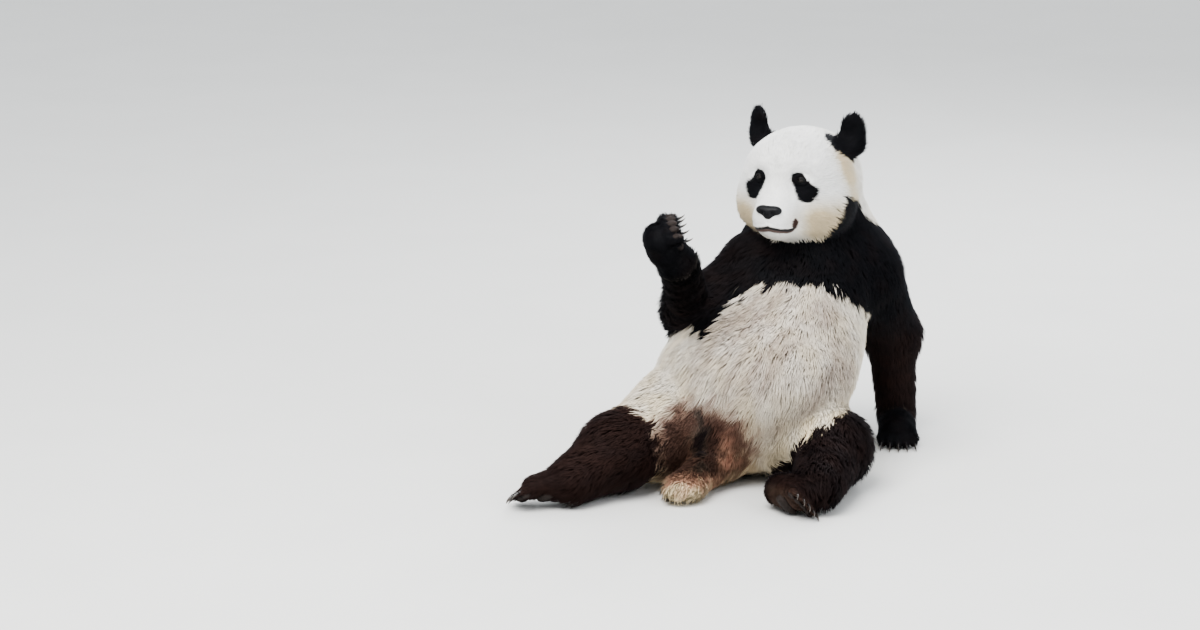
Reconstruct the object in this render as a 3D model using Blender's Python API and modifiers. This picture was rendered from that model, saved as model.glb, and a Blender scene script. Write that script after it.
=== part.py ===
"""Giant panda sitting on its rump, one forepaw raised: a life-size still model.

Metres, +Z up. The panda faces -Y and sits on the floor, z = 0. Its own left is +X.
The body is one blended form, made of named masses of flesh and coat, and is then
parted with thin cuts into head, neck, trunk, tail, ears and the lengths of each leg.
"""

import math
from dataclasses import dataclass

import bmesh
import bpy
import numpy as np
from mathutils import Euler, Matrix, Vector

# Driving dimensions
STANCE_CENTRE = Vector((-0.027, 0.055, 0.0))  # middle of the whole figure's plan, made the origin
HEAD_CENTRE = Vector((0.174, 0.200, 0.738))
HEAD_YAW = -23.0  # degrees about +Z, so the face looks to its own right
EYE_RADIUS = 0.0115
EYE_SPACING = 0.112
CUT = 0.0004  # gap left by each cut between two pieces

# How far two masses reach out to each other where they meet
TRUNK_BLEND = 0.090
LIMB_BLEND = 0.045
HEAD_BLEND = 0.045
PAW_BLEND = 0.014
EAR_BLEND = 0.022

VOXEL = 0.010  # grid the body is first shaped on
BODY_TRIANGLES = 3600  # of the blended body, before it is cut
FACE_KEPT = 0.12  # how much more of the face and paws is kept than of the rest
REGION_VOXEL = 0.016
LIMB_REGION_TRIANGLES = 180
SMALL_REGION_TRIANGLES = 60

CLAW_RADIUS = 0.0058
CLAW_SIDES = 5
CLAW_BEND = 55.0  # degrees from root to tip


def ball_points(count):
    """Points spread evenly over a ball of radius 1."""
    golden = math.pi * (3.0 - math.sqrt(5.0))
    heights = [1.0 - 2.0 * (i + 0.5) / count for i in range(count)]
    rings = [math.sqrt(1.0 - z * z) for z in heights]
    return [
        Vector((ring * math.cos(golden * i), ring * math.sin(golden * i), z))
        for i, (ring, z) in enumerate(zip(rings, heights))
    ]


BALL = ball_points(160)


@dataclass(frozen=True)
class Round:
    """An ellipsoid: its middle, its half sizes, and its turn in degrees."""

    centre: tuple
    radii: tuple
    turn: tuple = (0.0, 0.0, 0.0)

    def in_frame(self, frame):
        """Its place: the frame's matrix times its own."""
        spin = Euler([math.radians(a) for a in self.turn]).to_matrix().to_4x4()
        return frame @ Matrix.Translation(self.centre) @ spin

    def distance(self, points, frame):
        """Roughly how far each point is outside, from how much the ellipsoid must grow to reach it."""
        back = np.array(self.in_frame(frame).inverted())
        local = points @ back[:3, :3].T + back[:3, 3]
        radii = np.array(self.radii)
        grown = np.linalg.norm(local / radii, axis=1)
        slope = np.linalg.norm(local / radii**2, axis=1) + 1e-9
        return grown * (grown - 1.0) / slope

    def stand_in(self, mesh, frame, swell):
        """Adds the ellipsoid to a bmesh, grown by swell."""
        grown = Matrix.Diagonal([r + swell for r in self.radii] + [1.0])
        bmesh.ops.create_uvsphere(
            mesh, u_segments=24, v_segments=16, radius=1.0, matrix=self.in_frame(frame) @ grown
        )


@dataclass(frozen=True)
class Length:
    """A tapered length between two round ends."""

    start: tuple
    end: tuple
    start_radius: float
    end_radius: float

    def distance(self, points, frame):
        """How far each point is outside the two balls and the cone that wraps them."""
        a = np.array(frame @ Vector(self.start))
        b = np.array(frame @ Vector(self.end))
        along = b - a
        squared = along @ along
        taper = self.start_radius - self.end_radius
        left = squared - taper * taper
        from_a = points - a
        y = from_a @ along
        z = y - squared
        x2 = np.sum((from_a * squared - np.outer(y, along)) ** 2, axis=1)
        y2 = y * y * squared
        z2 = z * z * squared
        k = math.copysign(taper * taper, taper) * x2
        side = (np.sqrt(x2 * left / squared) + y * taper) / squared - self.start_radius
        past_b = np.sqrt(x2 + z2) / squared - self.end_radius
        before_a = np.sqrt(x2 + y2) / squared - self.start_radius
        found = np.where(np.sign(y) * left * y2 < k, before_a, side)
        return np.where(np.sign(z) * left * z2 > k, past_b, found)

    def stand_in(self, mesh, frame, swell):
        """Adds the hull of the two balls to a bmesh, grown by swell."""
        made = []
        for end, radius in ((self.start, self.start_radius), (self.end, self.end_radius)):
            middle = frame @ Vector(end)
            made += [mesh.verts.new(middle + (radius + swell) * point) for point in BALL]
        hull = bmesh.ops.convex_hull(mesh, input=made)
        inside = hull["geom_interior"] + hull["geom_unused"]
        spare = {item for item in inside if isinstance(item, bmesh.types.BMVert)}
        bmesh.ops.delete(mesh, geom=list(spare), context="VERTS")


@dataclass(frozen=True)
class Group:
    """Masses that share a frame and blend with each other."""

    masses: tuple
    blend: float
    frame: Matrix

    def distance(self, points):
        """The blended distance of every point."""
        found = self.masses[0].distance(points, self.frame)
        for mass in self.masses[1:]:
            found = joined(found, mass.distance(points, self.frame), self.blend)
        return found

    def stand_in(self, mesh, swell=0.0):
        """Adds every mass to a bmesh."""
        for mass in self.masses:
            mass.stand_in(mesh, self.frame, swell)


WORLD = Matrix.Translation(-STANCE_CENTRE)


def joined(one, other, blend):
    """The smaller distance, rounded off where the two differ by less than blend."""
    near = np.maximum(blend - np.abs(one - other), 0.0) / blend
    return np.minimum(one, other) - near * near * blend / 4.0


def hollowed(body, hollow, blend):
    """The body with the hollow taken out, its rim rounded by blend."""
    return -joined(-body, hollow, blend)


def head_frame():
    """The head's own frame: face towards -Y, its left towards +X."""
    turn = Euler((0.0, 0.0, math.radians(HEAD_YAW))).to_matrix().to_4x4()
    return WORLD @ Matrix.Translation(HEAD_CENTRE) @ turn


def paw_frame(origin, toes, sole):
    """A paw's frame at its wrist or ankle: toes towards -Y, sole towards -Z."""
    y = -Vector(toes).normalized()
    z = -(Vector(sole) - Vector(sole).project(y)).normalized()
    x = y.cross(z)
    turn = Matrix((x, y, z)).transposed().to_4x4()
    return WORLD @ Matrix.Translation(origin) @ turn


def mirrored(centre, radii, turn=(0.0, 0.0, 0.0)):
    """The same ellipsoid on each side of the head."""
    x, y, z = centre
    a, b, c = turn
    return (Round((x, y, z), radii, (a, b, c)), Round((-x, y, z), radii, (a, -b, -c)))


TRUNK = Group(
    (
        Round((0.000, 0.120, 0.150), (0.242, 0.225, 0.160)),  # rump
        Round((0.075, 0.085, 0.280), (0.258, 0.235, 0.198)),  # belly
        Round((0.165, 0.190, 0.410), (0.200, 0.205, 0.180), (0, 25, 0)),  # ribs
        Round((0.205, 0.265, 0.515), (0.180, 0.170, 0.150)),  # chest
        Round((0.230, 0.350, 0.510), (0.180, 0.150, 0.160)),  # withers
        Round((0.100, 0.270, 0.260), (0.240, 0.205, 0.240), (-12, 12, 0)),  # back
    ),
    TRUNK_BLEND,
    WORLD,
)

NECK = Group(
    (
        Length((0.218, 0.280, 0.745), (0.225, 0.345, 0.600), 0.132, 0.138),
    ),
    LIMB_BLEND,
    WORLD,
)

HEAD = Group(
    (
        Round((0.0, 0.008, 0.024), (0.144, 0.148, 0.132)),  # cranium
        *mirrored((0.069, -0.008, -0.040), (0.087, 0.112, 0.086)),  # cheeks
        Round((0.0, -0.060, 0.050), (0.100, 0.084, 0.080)),  # forehead
        Length((0.0, -0.090, -0.040), (0.0, -0.162, -0.040), 0.066, 0.036),  # muzzle
        Round((0.0, -0.130, -0.012), (0.030, 0.070, 0.030), (14, 0, 0)),  # bridge
        *mirrored((0.021, -0.168, -0.052), (0.029, 0.028, 0.024)),  # upper lips
        Round((0.0, -0.128, -0.085), (0.040, 0.048, 0.025)),  # chin
        Round((0.0, -0.035, -0.072), (0.085, 0.095, 0.052)),  # throat
    ),
    HEAD_BLEND,
    head_frame(),
)

EARS = {
    side: Group(
        (
            Round((sign * 0.128, 0.060, 0.141), (0.041, 0.019, 0.053), (0, 0, sign * 40)),
            Round((sign * 0.117, 0.055, 0.106), (0.049, 0.025, 0.037), (0, 0, sign * 40)),
        ),
        EAR_BLEND,
        head_frame(),
    )
    for side, sign in (("left", 1.0), ("right", -1.0))
}


@dataclass(frozen=True)
class Paw:
    """A paw with five toes, in its own frame."""

    frame: Matrix
    width: float
    length: float
    depth: float
    curl: float  # degrees at each of a toe's two joints
    claw: float  # length of a claw

    def toe(self, number):
        """The two joints and the tip of toe 0 to 4, and its radius."""
        across = (number - 2) / 2.0
        spread = across * self.width * 0.78
        reach = self.length * (0.66 - 0.07 * across * across)
        root = Vector((spread * 0.90, -reach, -0.15 * self.depth))
        radius = 0.29 * self.width
        bend = math.radians(self.curl)
        step = 0.17 * self.length
        fan = across * 0.14
        middle = root + step * Vector((fan, -math.cos(bend), -math.sin(bend)))
        tip = middle + 0.8 * step * Vector((fan, -math.cos(2 * bend), -math.sin(2 * bend)))
        return root, middle, tip, radius

    def group(self):
        """The palm and the toes."""
        w, l, d = self.width, self.length, self.depth
        masses = [
            Round((0.0, -0.40 * l, 0.0), (w, 0.42 * l, d)),
            Round((0.0, -0.08 * l, 0.0), (0.88 * w, 0.35 * l, 0.95 * d)),
            Round((0.0, -0.66 * l, 0.02 * d), (0.92 * w, 0.22 * l, 0.78 * d)),
        ]
        for number in range(5):
            root, middle, tip, radius = self.toe(number)
            masses.append(Length(tuple(root), tuple(middle), radius, radius))
            masses.append(Length(tuple(middle), tuple(tip), radius, 0.86 * radius))
        return Group(tuple(masses), PAW_BLEND, self.frame)


PAWS = {
    "forepaw_left": Paw(
        paw_frame((0.461, 0.440, 0.054), (-0.03, -0.97, -0.13), (0.0, -0.13, -1.0)),
        0.052, 0.150, 0.048, 12.0, 0.026,
    ),
    "forepaw_right": Paw(
        paw_frame((-0.136, -0.110, 0.600), (-0.50, -0.42, 0.76), (0.76, -0.10, 0.60)),
        0.058, 0.165, 0.052, 58.0, 0.017,
    ),
    "hindpaw_left": Paw(
        paw_frame((0.117, -0.242, 0.050), (0.55, -0.83, 0.04), (-0.60, -0.38, -0.66)),
        0.050, 0.138, 0.050, 9.0, 0.024,
    ),
    "hindpaw_right": Paw(
        paw_frame((-0.408, -0.222, 0.062), (-0.97, -0.17, -0.10), (-0.12, -0.42, -0.90)),
        0.052, 0.150, 0.040, 7.0, 0.022,
    ),
}

LIMBS = {
    "foreleg_left": (
        Round((0.335, 0.310, 0.495), (0.105, 0.115, 0.115)),
        Length((0.365, 0.325, 0.475), (0.444, 0.425, 0.290), 0.100, 0.074),
        Length((0.444, 0.425, 0.290), (0.459, 0.440, 0.085), 0.072, 0.056),
    ),
    "foreleg_right": (
        Round((0.080, 0.190, 0.520), (0.100, 0.105, 0.100)),
        Length((0.070, 0.180, 0.520), (-0.105, 0.110, 0.428), 0.092, 0.068),
        Length((-0.105, 0.110, 0.428), (-0.134, -0.102, 0.592), 0.067, 0.052),
    ),
    "hindleg_left": (
        Round((0.150, 0.045, 0.145), (0.145, 0.140, 0.140)),
        Length((0.150, 0.050, 0.145), (0.262, -0.050, 0.108), 0.130, 0.100),
        Length((0.262, -0.060, 0.108), (0.215, -0.275, 0.070), 0.098, 0.070),
    ),
    "hindleg_right": (
        Round((-0.150, 0.030, 0.145), (0.120, 0.140, 0.135)),
        Length((-0.150, 0.030, 0.145), (-0.290, -0.105, 0.112), 0.130, 0.098),
        Length((-0.290, -0.105, 0.112), (-0.405, -0.215, 0.066), 0.098, 0.070),
    ),
}

LIMB_PAWS = {
    "foreleg_left": "forepaw_left",
    "foreleg_right": "forepaw_right",
    "hindleg_left": "hindpaw_left",
    "hindleg_right": "hindpaw_right",
}

HAUNCHES = Group(
    (
        Round((-0.168, -0.020, 0.088), (0.078, 0.085, 0.088)),
        Round((-0.030, -0.025, 0.088), (0.078, 0.085, 0.088)),
    ),
    0.020,
    WORLD,
)

TAIL = Group(
    (
        Length((-0.040, -0.050, 0.070), (-0.118, -0.180, 0.040), 0.066, 0.042),
        Round((-0.124, -0.190, 0.036), (0.056, 0.060, 0.034), (0, 0, -30)),
    ),
    LIMB_BLEND,
    WORLD,
)

SOCKETS = Group(
    mirrored((0.066, -0.165, 0.045), (0.034, 0.040, 0.034)), 0.004, head_frame()
)


def limb_group(name):
    """The masses of one leg, without its paw."""
    return Group(LIMBS[name], LIMB_BLEND, WORLD)


def body_distance(points):
    """The blended distance of the whole animal, down to its paws and ears."""
    found = joined(TRUNK.distance(points), NECK.distance(points), TRUNK_BLEND)
    head = HEAD.distance(points)
    head = hollowed(head, SOCKETS.distance(points), 0.020)
    found = joined(found, head, HEAD_BLEND)
    for ear in EARS.values():
        found = joined(found, ear.distance(points), EAR_BLEND)
    for name in LIMBS:
        found = joined(found, limb_group(name).distance(points), LIMB_BLEND)
    for paw in PAWS.values():
        found = joined(found, paw.group().distance(points), PAW_BLEND * 2)
    found = joined(found, HAUNCHES.distance(points), LIMB_BLEND)
    return joined(found, TAIL.distance(points), PAW_BLEND)


def all_groups():
    """Every group of the blended body."""
    limbs = [limb_group(name) for name in LIMBS]
    paws = [paw.group() for paw in PAWS.values()]
    return [TRUNK, NECK, HEAD, *EARS.values(), *limbs, *paws, HAUNCHES, TAIL]


def settle(mesh, distance, rounds):
    """Moves each vertex along the slope of the distance until it lies where that is zero."""
    points = np.empty(len(mesh.vertices) * 3, np.float32)
    mesh.vertices.foreach_get("co", points)
    points = points.reshape(-1, 3).astype(float)
    step = 0.001
    for _ in range(rounds):
        here = distance(points)
        slope = np.stack(
            [(distance(points + step * axis) - here) / step for axis in np.eye(3)], axis=1
        )
        steep = np.maximum(np.sum(slope**2, axis=1), 0.2)
        points -= slope * (np.clip(here, -0.02, 0.02) / steep)[:, None]
    mesh.vertices.foreach_set("co", points.astype(np.float32).ravel())
    mesh.update()


def new_object(name, mesh):
    """Links a mesh into the scene as an object."""
    made = bpy.data.objects.new(name, mesh)
    bpy.context.scene.collection.objects.link(made)
    return made


def delete(target):
    """Removes an object and its mesh."""
    mesh = target.data
    bpy.data.objects.remove(target)
    bpy.data.meshes.remove(mesh)


def copy_of(target, name):
    """A second object with its own copy of the mesh."""
    return new_object(name, target.data.copy())


def apply_modifiers(target):
    """Replaces the object's mesh with its evaluated one."""
    graph = bpy.context.evaluated_depsgraph_get()
    made = bpy.data.meshes.new_from_object(target.evaluated_get(graph), depsgraph=graph)
    target.modifiers.clear()
    old = target.data
    target.data = made
    bpy.data.meshes.remove(old)


def boolean(target, cutter, operation):
    """Applies one exact boolean."""
    step = target.modifiers.new("boolean", "BOOLEAN")
    step.operation = operation
    step.solver = "EXACT"
    step.object = cutter
    apply_modifiers(target)


def reduce_to(target, triangles, group=""):
    """Collapses edges until about this many triangles are left."""
    target.data.calc_loop_triangles()
    step = target.modifiers.new("reduce", "DECIMATE")
    step.ratio = min(1.0, triangles / len(target.data.loop_triangles))
    step.use_collapse_triangulate = True
    if group:
        step.vertex_group = group
        step.vertex_group_factor = FACE_KEPT
        step.invert_vertex_group = True
    apply_modifiers(target)


def remeshed(name, groups, voxel, swell=0.0):
    """One closed object round the masses of these groups."""
    form = bmesh.new()
    for group in groups:
        group.stand_in(form, swell)
    mesh = bpy.data.meshes.new(name)
    form.to_mesh(mesh)
    form.free()
    made = new_object(name, mesh)
    remesh = made.modifiers.new("remesh", "REMESH")
    remesh.mode = "VOXEL"
    remesh.voxel_size = voxel
    bpy.context.view_layer.update()
    apply_modifiers(made)
    return made


def swollen(target, name, by):
    """A copy with every vertex moved out along its normal."""
    made = copy_of(target, name)
    mesh = made.data
    points = np.empty(len(mesh.vertices) * 3, np.float32)
    normals = np.empty(len(mesh.vertices) * 3, np.float32)
    mesh.vertices.foreach_get("co", points)
    mesh.vertices.foreach_get("normal", normals)
    mesh.vertices.foreach_set("co", points + by * normals)
    mesh.update()
    return made


def islands(target):
    """Splits an object into one object for each connected piece, largest first."""
    form = bmesh.new()
    form.from_mesh(target.data)
    form.verts.ensure_lookup_table()
    labels = [-1] * len(form.verts)
    count = 0
    for seed in form.verts:
        if labels[seed.index] >= 0:
            continue
        labels[seed.index] = count
        open_ends = [seed]
        while open_ends:
            vertex = open_ends.pop()
            for edge in vertex.link_edges:
                other = edge.other_vert(vertex)
                if labels[other.index] < 0:
                    labels[other.index] = count
                    open_ends.append(other)
        count += 1
    pieces = []
    for number in range(count):
        piece = form.copy()
        piece.verts.ensure_lookup_table()
        spare = [v for v in piece.verts if labels[v.index] != number]
        bmesh.ops.delete(piece, geom=spare, context="VERTS")
        volume = piece.calc_volume()
        mesh = bpy.data.meshes.new(target.name)
        piece.to_mesh(mesh)
        piece.free()
        pieces.append((volume, new_object(f"{target.name}_{number}", mesh)))
    form.free()
    delete(target)
    pieces.sort(key=lambda pair: -pair[0])
    return [piece for _, piece in pieces]


def keep_largest(target, name):
    """The biggest connected piece, renamed; any crumbs of the cut are thrown away."""
    first, *crumbs = islands(target)
    for crumb in crumbs:
        delete(crumb)
    first.name = name
    return first


def weigh_detail(body):
    """Marks the face and paws, which keep more of their triangles."""
    mesh = body.data
    points = np.empty(len(mesh.vertices) * 3, np.float32)
    mesh.vertices.foreach_get("co", points)
    points = points.reshape(-1, 3).astype(float)
    spots = [head_frame() @ Vector((0.0, -0.150, 0.0))]
    spots += [paw.frame @ Vector((0.0, -0.75 * paw.length, 0.0)) for paw in PAWS.values()]
    reach = [0.110, 0.050, 0.050, 0.050, 0.050]
    weight = np.zeros(len(points))
    for spot, size in zip(spots, reach):
        away = np.linalg.norm(points - np.array(spot), axis=1)
        weight = np.maximum(weight, np.clip(1.5 - away / size, 0.0, 1.0))
    group = body.vertex_groups.new(name="detail")
    for index in np.nonzero(weight > 0.01)[0]:
        group.add([int(index)], float(weight[index]), "REPLACE")


def make_body():
    """The whole animal as one closed form, flat where it meets the floor."""
    body = remeshed("body", all_groups(), VOXEL)
    settle(body.data, body_distance, 3)
    smooth = body.modifiers.new("even", "SMOOTH")
    smooth.factor = 0.5
    smooth.iterations = 4
    apply_modifiers(body)
    settle(body.data, body_distance, 2)
    weigh_detail(body)
    reduce_to(body, BODY_TRIANGLES, "detail")
    settle(body.data, body_distance, 2)
    return body


def box(name, low, high):
    """A plain box between two corners."""
    form = bmesh.new()
    middle = (Vector(low) + Vector(high)) / 2.0
    size = Vector(high) - Vector(low)
    place = Matrix.Translation(middle) @ Matrix.Diagonal([*size, 1.0])
    bmesh.ops.create_cube(form, size=1.0, matrix=place)
    mesh = bpy.data.meshes.new(name)
    form.to_mesh(mesh)
    form.free()
    return new_object(name, mesh)


def stand_on_floor(body):
    """Cuts away whatever sinks below the floor, which leaves small flats at z = 0."""
    ground = box("ground", (-2.0, -2.0, -1.0), (2.0, 2.0, 0.0))
    boolean(body, ground, "DIFFERENCE")
    delete(ground)


def saw(target, centre, normal, radius):
    """Cuts right through the target with a thin disc."""
    form = bmesh.new()
    turn = Vector(normal).to_track_quat("Z", "Y").to_matrix().to_4x4()
    bmesh.ops.create_cone(
        form,
        cap_ends=True,
        segments=32,
        radius1=radius,
        radius2=radius,
        depth=CUT,
        matrix=WORLD @ Matrix.Translation(centre) @ turn,
    )
    mesh = bpy.data.meshes.new("disc")
    form.to_mesh(mesh)
    form.free()
    disc = new_object("disc", mesh)
    boolean(target, disc, "DIFFERENCE")
    delete(disc)


def part_off(body, name, groups, swell, triangles):
    """Takes the region round these groups off the body, as a piece of its own."""
    region = remeshed("region", groups, REGION_VOXEL, swell)
    reduce_to(region, triangles)
    wider = swollen(region, "wider", CUT)
    piece = copy_of(body, name)
    boolean(piece, region, "INTERSECT")
    boolean(body, wider, "DIFFERENCE")
    delete(region)
    delete(wider)
    return keep_largest(piece, name)


def part_lengths(piece, saws, marks):
    """Saws a piece into lengths and names each by the mark it lies nearest to."""
    for centre, normal, radius in saws:
        saw(piece, centre, normal, radius)
    found = {}
    for made in islands(piece):
        middle = sum((v.co for v in made.data.vertices), Vector()) / len(made.data.vertices)
        name = min(marks, key=lambda n: (WORLD @ Vector(marks[n]) - middle).length)
        if name in found:
            delete(made)
            continue
        made.name = name
        found[name] = made
    return found


# Where each limb is sawn: a point on the cut, the cut's facing and its reach
LIMB_SAWS = {
    "foreleg_left": (
        ((0.444, 0.425, 0.292), (0.22, 0.27, -0.94), 0.150),
        ((0.459, 0.440, 0.108), (0.05, -0.20, -1.00), 0.085),
    ),
    "foreleg_right": (
        ((-0.095, 0.110, 0.430), (-0.64, -0.75, 0.12), 0.220),
        ((-0.132, -0.093, 0.584), (-0.25, -0.70, 0.66), 0.085),
    ),
    "hindleg_left": (
        ((0.220, -0.055, 0.105), (0.07, -0.95, -0.30), 0.240),
        ((0.160, -0.262, 0.060), (-0.50, -0.85, 0.00), 0.170),
    ),
    "hindleg_right": (
        ((-0.300, -0.110, 0.115), (-0.80, -0.60, -0.20), 0.190),
        ((-0.408, -0.222, 0.066), (-1.00, -0.45, -0.12), 0.100),
    ),
}

LIMB_MARKS = {
    "foreleg_left": {
        "upper_foreleg_left": (0.390, 0.350, 0.440),
        "lower_foreleg_left": (0.455, 0.430, 0.200),
        "forepaw_left": (0.458, 0.370, 0.045),
    },
    "foreleg_right": {
        "upper_foreleg_right": (0.000, 0.150, 0.480),
        "lower_foreleg_right": (-0.120, 0.010, 0.510),
        "forepaw_right": (-0.175, -0.150, 0.680),
    },
    "hindleg_left": {
        "thigh_left": (0.170, 0.040, 0.140),
        "shank_left": (0.235, -0.170, 0.080),
        "hindpaw_left": (0.165, -0.330, 0.050),
    },
    "hindleg_right": {
        "thigh_right": (-0.200, -0.010, 0.130),
        "shank_right": (-0.350, -0.170, 0.090),
        "hindpaw_right": (-0.490, -0.235, 0.050),
    },
}

TORSO_SAWS = (
    ((0.196, 0.251, 0.679), (-0.15, -0.35, 0.92), 0.260),
    ((0.202, 0.287, 0.600), (-0.05, -0.10, 0.99), 0.300),
)
TORSO_MARKS = {
    "head": (0.155, 0.150, 0.750),
    "neck": (0.240, 0.330, 0.670),
    "trunk": (0.060, 0.150, 0.300),
}


def make_eye(side, sign):
    """An eyeball, and the socket it sits in."""
    centre = Vector((sign * EYE_SPACING / 2.0, -0.1175, 0.048))
    made = []
    for radius in (EYE_RADIUS, EYE_RADIUS + CUT):
        form = bmesh.new()
        place = head_frame() @ Matrix.Translation(centre)
        bmesh.ops.create_uvsphere(form, u_segments=12, v_segments=6, radius=radius, matrix=place)
        mesh = bpy.data.meshes.new(f"eye_{side}")
        form.to_mesh(mesh)
        form.free()
        made.append(new_object(f"eye_{side}", mesh))
    return made


def make_nose():
    """The nose leather: a broad pad, flat in front, with a lip below the nostrils."""
    group = Group(
        (
            *mirrored((0.015, -0.203, -0.023), (0.020, 0.014, 0.0145)),
            Round((0.0, -0.205, -0.032), (0.016, 0.013, 0.0140)),
        ),
        0.012,
        head_frame(),
    )
    nose = remeshed("nose", [group], 0.0035)
    settle(nose.data, group.distance, 3)
    reduce_to(nose, 130)
    return nose


def claw_rings(paw, number, bend, swell):
    """The rings of a claw's skin, from the pocket in the toe to just short of the tip."""
    _, middle, tip, radius = paw.toe(number)
    ahead = (tip - middle).normalized()
    side = Vector((1.0, 0.0, 0.0))
    side = (side - side.project(ahead)).normalized()
    up = side.cross(ahead)
    if up.z < 0.0:  # the back of the toe, away from the sole
        up = -up
    start = tip + 0.20 * radius * up
    length = radius + paw.claw
    steps = 4
    rings = []
    spine = start.copy()
    for i in range(steps):
        share = i / (steps - 1)
        turn = math.radians(bend) * share * share
        facing = (ahead * math.cos(turn) - up * math.sin(turn)).normalized()
        over = side.cross(facing)
        wide = CLAW_RADIUS * (1.0 - 0.85 * share**1.3) + swell
        ring = []
        for k in range(CLAW_SIDES):
            angle = 2.0 * math.pi * k / CLAW_SIDES
            ring.append(spine + 0.72 * wide * math.cos(angle) * side + wide * math.sin(angle) * over)
        rings.append(ring)
        spine = spine + facing * (length / (steps - 1))
    rings[0] = [point - swell * ahead for point in rings[0]]
    rings[-1] = [point + swell * facing for point in rings[-1]]
    return rings


def claw_bend(paw, number):
    """The bend a claw can have without its tip passing through the floor."""
    bend = CLAW_BEND
    while bend > -60.0:
        rings = claw_rings(paw, number, bend, 0.0)
        if min((paw.frame @ point).z for ring in rings for point in ring) > 0.0:
            break
        bend -= 5.0
    return bend


def claw_object(paw, number, name, swell=0.0):
    """One claw as a closed mesh."""
    form = bmesh.new()
    bend = claw_bend(paw, number)
    shape = claw_rings(paw, number, bend, swell)
    rings = [[form.verts.new(paw.frame @ point) for point in ring] for ring in shape]
    for lower, upper in zip(rings, rings[1:]):
        for k in range(CLAW_SIDES):
            after = (k + 1) % CLAW_SIDES
            form.faces.new((lower[k], lower[after], upper[after], upper[k]))
    form.faces.new(rings[0][::-1])
    form.faces.new(rings[-1])
    bmesh.ops.recalc_face_normals(form, faces=form.faces)
    mesh = bpy.data.meshes.new(name)
    form.to_mesh(mesh)
    form.free()
    return new_object(name, mesh)


def set_claws(paw_object, name):
    """Five claws, each in a pocket of its own in the paw."""
    paw = PAWS[name]
    claws = []
    for number in range(5):
        pocket = claw_object(paw, number, "pocket", CUT)
        boolean(paw_object, pocket, "DIFFERENCE")
        delete(pocket)
        claws.append(claw_object(paw, number, f"claw_{name}_{number + 1}"))
    return claws


# Colours of the coat and of the bare parts
BLACK_COAT = (0.012, 0.010, 0.011)
BROWN_COAT = (0.030, 0.018, 0.014)
WHITE_COAT = (0.780, 0.760, 0.710)
CREAM_COAT = (0.640, 0.560, 0.470)
LEATHER = (0.010, 0.010, 0.011)
CLAW_HORN = (0.030, 0.026, 0.024)
EYE_GLOSS = (0.012, 0.008, 0.006)


def finish(target, colour, roughness):
    """Gives a node its own material."""
    material = bpy.data.materials.new(f"{target.name}_finish")
    material.use_nodes = True
    shader = material.node_tree.nodes["Principled BSDF"]
    shader.inputs["Base Color"].default_value = (*colour, 1.0)
    shader.inputs["Roughness"].default_value = roughness
    target.data.materials.clear()
    target.data.materials.append(material)


def finish_of(name):
    """The colour and roughness of a node, by its name."""
    if name.startswith("claw"):
        return CLAW_HORN, 0.30
    if name.startswith("eye"):
        return EYE_GLOSS, 0.05
    if name == "nose":
        return LEATHER, 0.35
    if name in ("head", "neck"):
        return WHITE_COAT, 0.90
    if name == "trunk":
        return CREAM_COAT, 0.90
    if name == "tail":
        return CREAM_COAT, 0.90
    if "hind" in name or "thigh" in name or "shank" in name:
        return BROWN_COAT, 0.90
    return BLACK_COAT, 0.90


def clear_scene():
    """Empties the scene."""
    for found in list(bpy.data.objects):
        bpy.data.objects.remove(found)


def main():
    """Shapes the body, parts it, adds the bare pieces and names every node."""
    clear_scene()
    body = make_body()
    stand_on_floor(body)
    nodes = {}
    for name in LIMBS:
        groups = [limb_group(name), PAWS[LIMB_PAWS[name]].group()]
        limb = part_off(body, name, groups, 0.020, LIMB_REGION_TRIANGLES)
        nodes.update(part_lengths(limb, LIMB_SAWS[name], LIMB_MARKS[name]))
    nodes["tail"] = part_off(body, "tail", [TAIL], 0.014, SMALL_REGION_TRIANGLES)
    for side, ear in EARS.items():
        name = f"ear_{side}"
        nodes[name] = part_off(body, name, [ear], 0.010, SMALL_REGION_TRIANGLES)
    nodes.update(part_lengths(body, TORSO_SAWS, TORSO_MARKS))
    for side, sign in (("left", 1.0), ("right", -1.0)):
        eye, socket = make_eye(side, sign)
        boolean(nodes["head"], socket, "DIFFERENCE")
        delete(socket)
        nodes[f"eye_{side}"] = eye
    nose = make_nose()
    bed = swollen(nose, "bed", CUT)
    boolean(nodes["head"], bed, "DIFFERENCE")
    delete(bed)
    nodes["nose"] = nose
    for name in PAWS:
        for claw in set_claws(nodes[name], name):
            nodes[claw.name] = claw
    collection = bpy.data.collections.new("giant_panda")
    bpy.context.scene.collection.children.link(collection)
    for name, node in nodes.items():
        node.name = name
        node.data.name = name
        finish(node, *finish_of(name))
        bpy.context.scene.collection.objects.unlink(node)
        collection.objects.link(node)


if __name__ == "__main__":
    main()
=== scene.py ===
"""Looks of a giant panda sitting on its rump, life-size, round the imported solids.

One skin stands for all the flesh nodes. Over it lies a coat of small solid locks, and
eyes, lids, nose, lips, pads and claws are pieces of their own. Metres, +Z up.
"""

import logging
import math
from collections.abc import Callable, Iterator
from contextlib import contextmanager
from dataclasses import astuple, dataclass
from enum import Enum
from functools import cached_property

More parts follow.
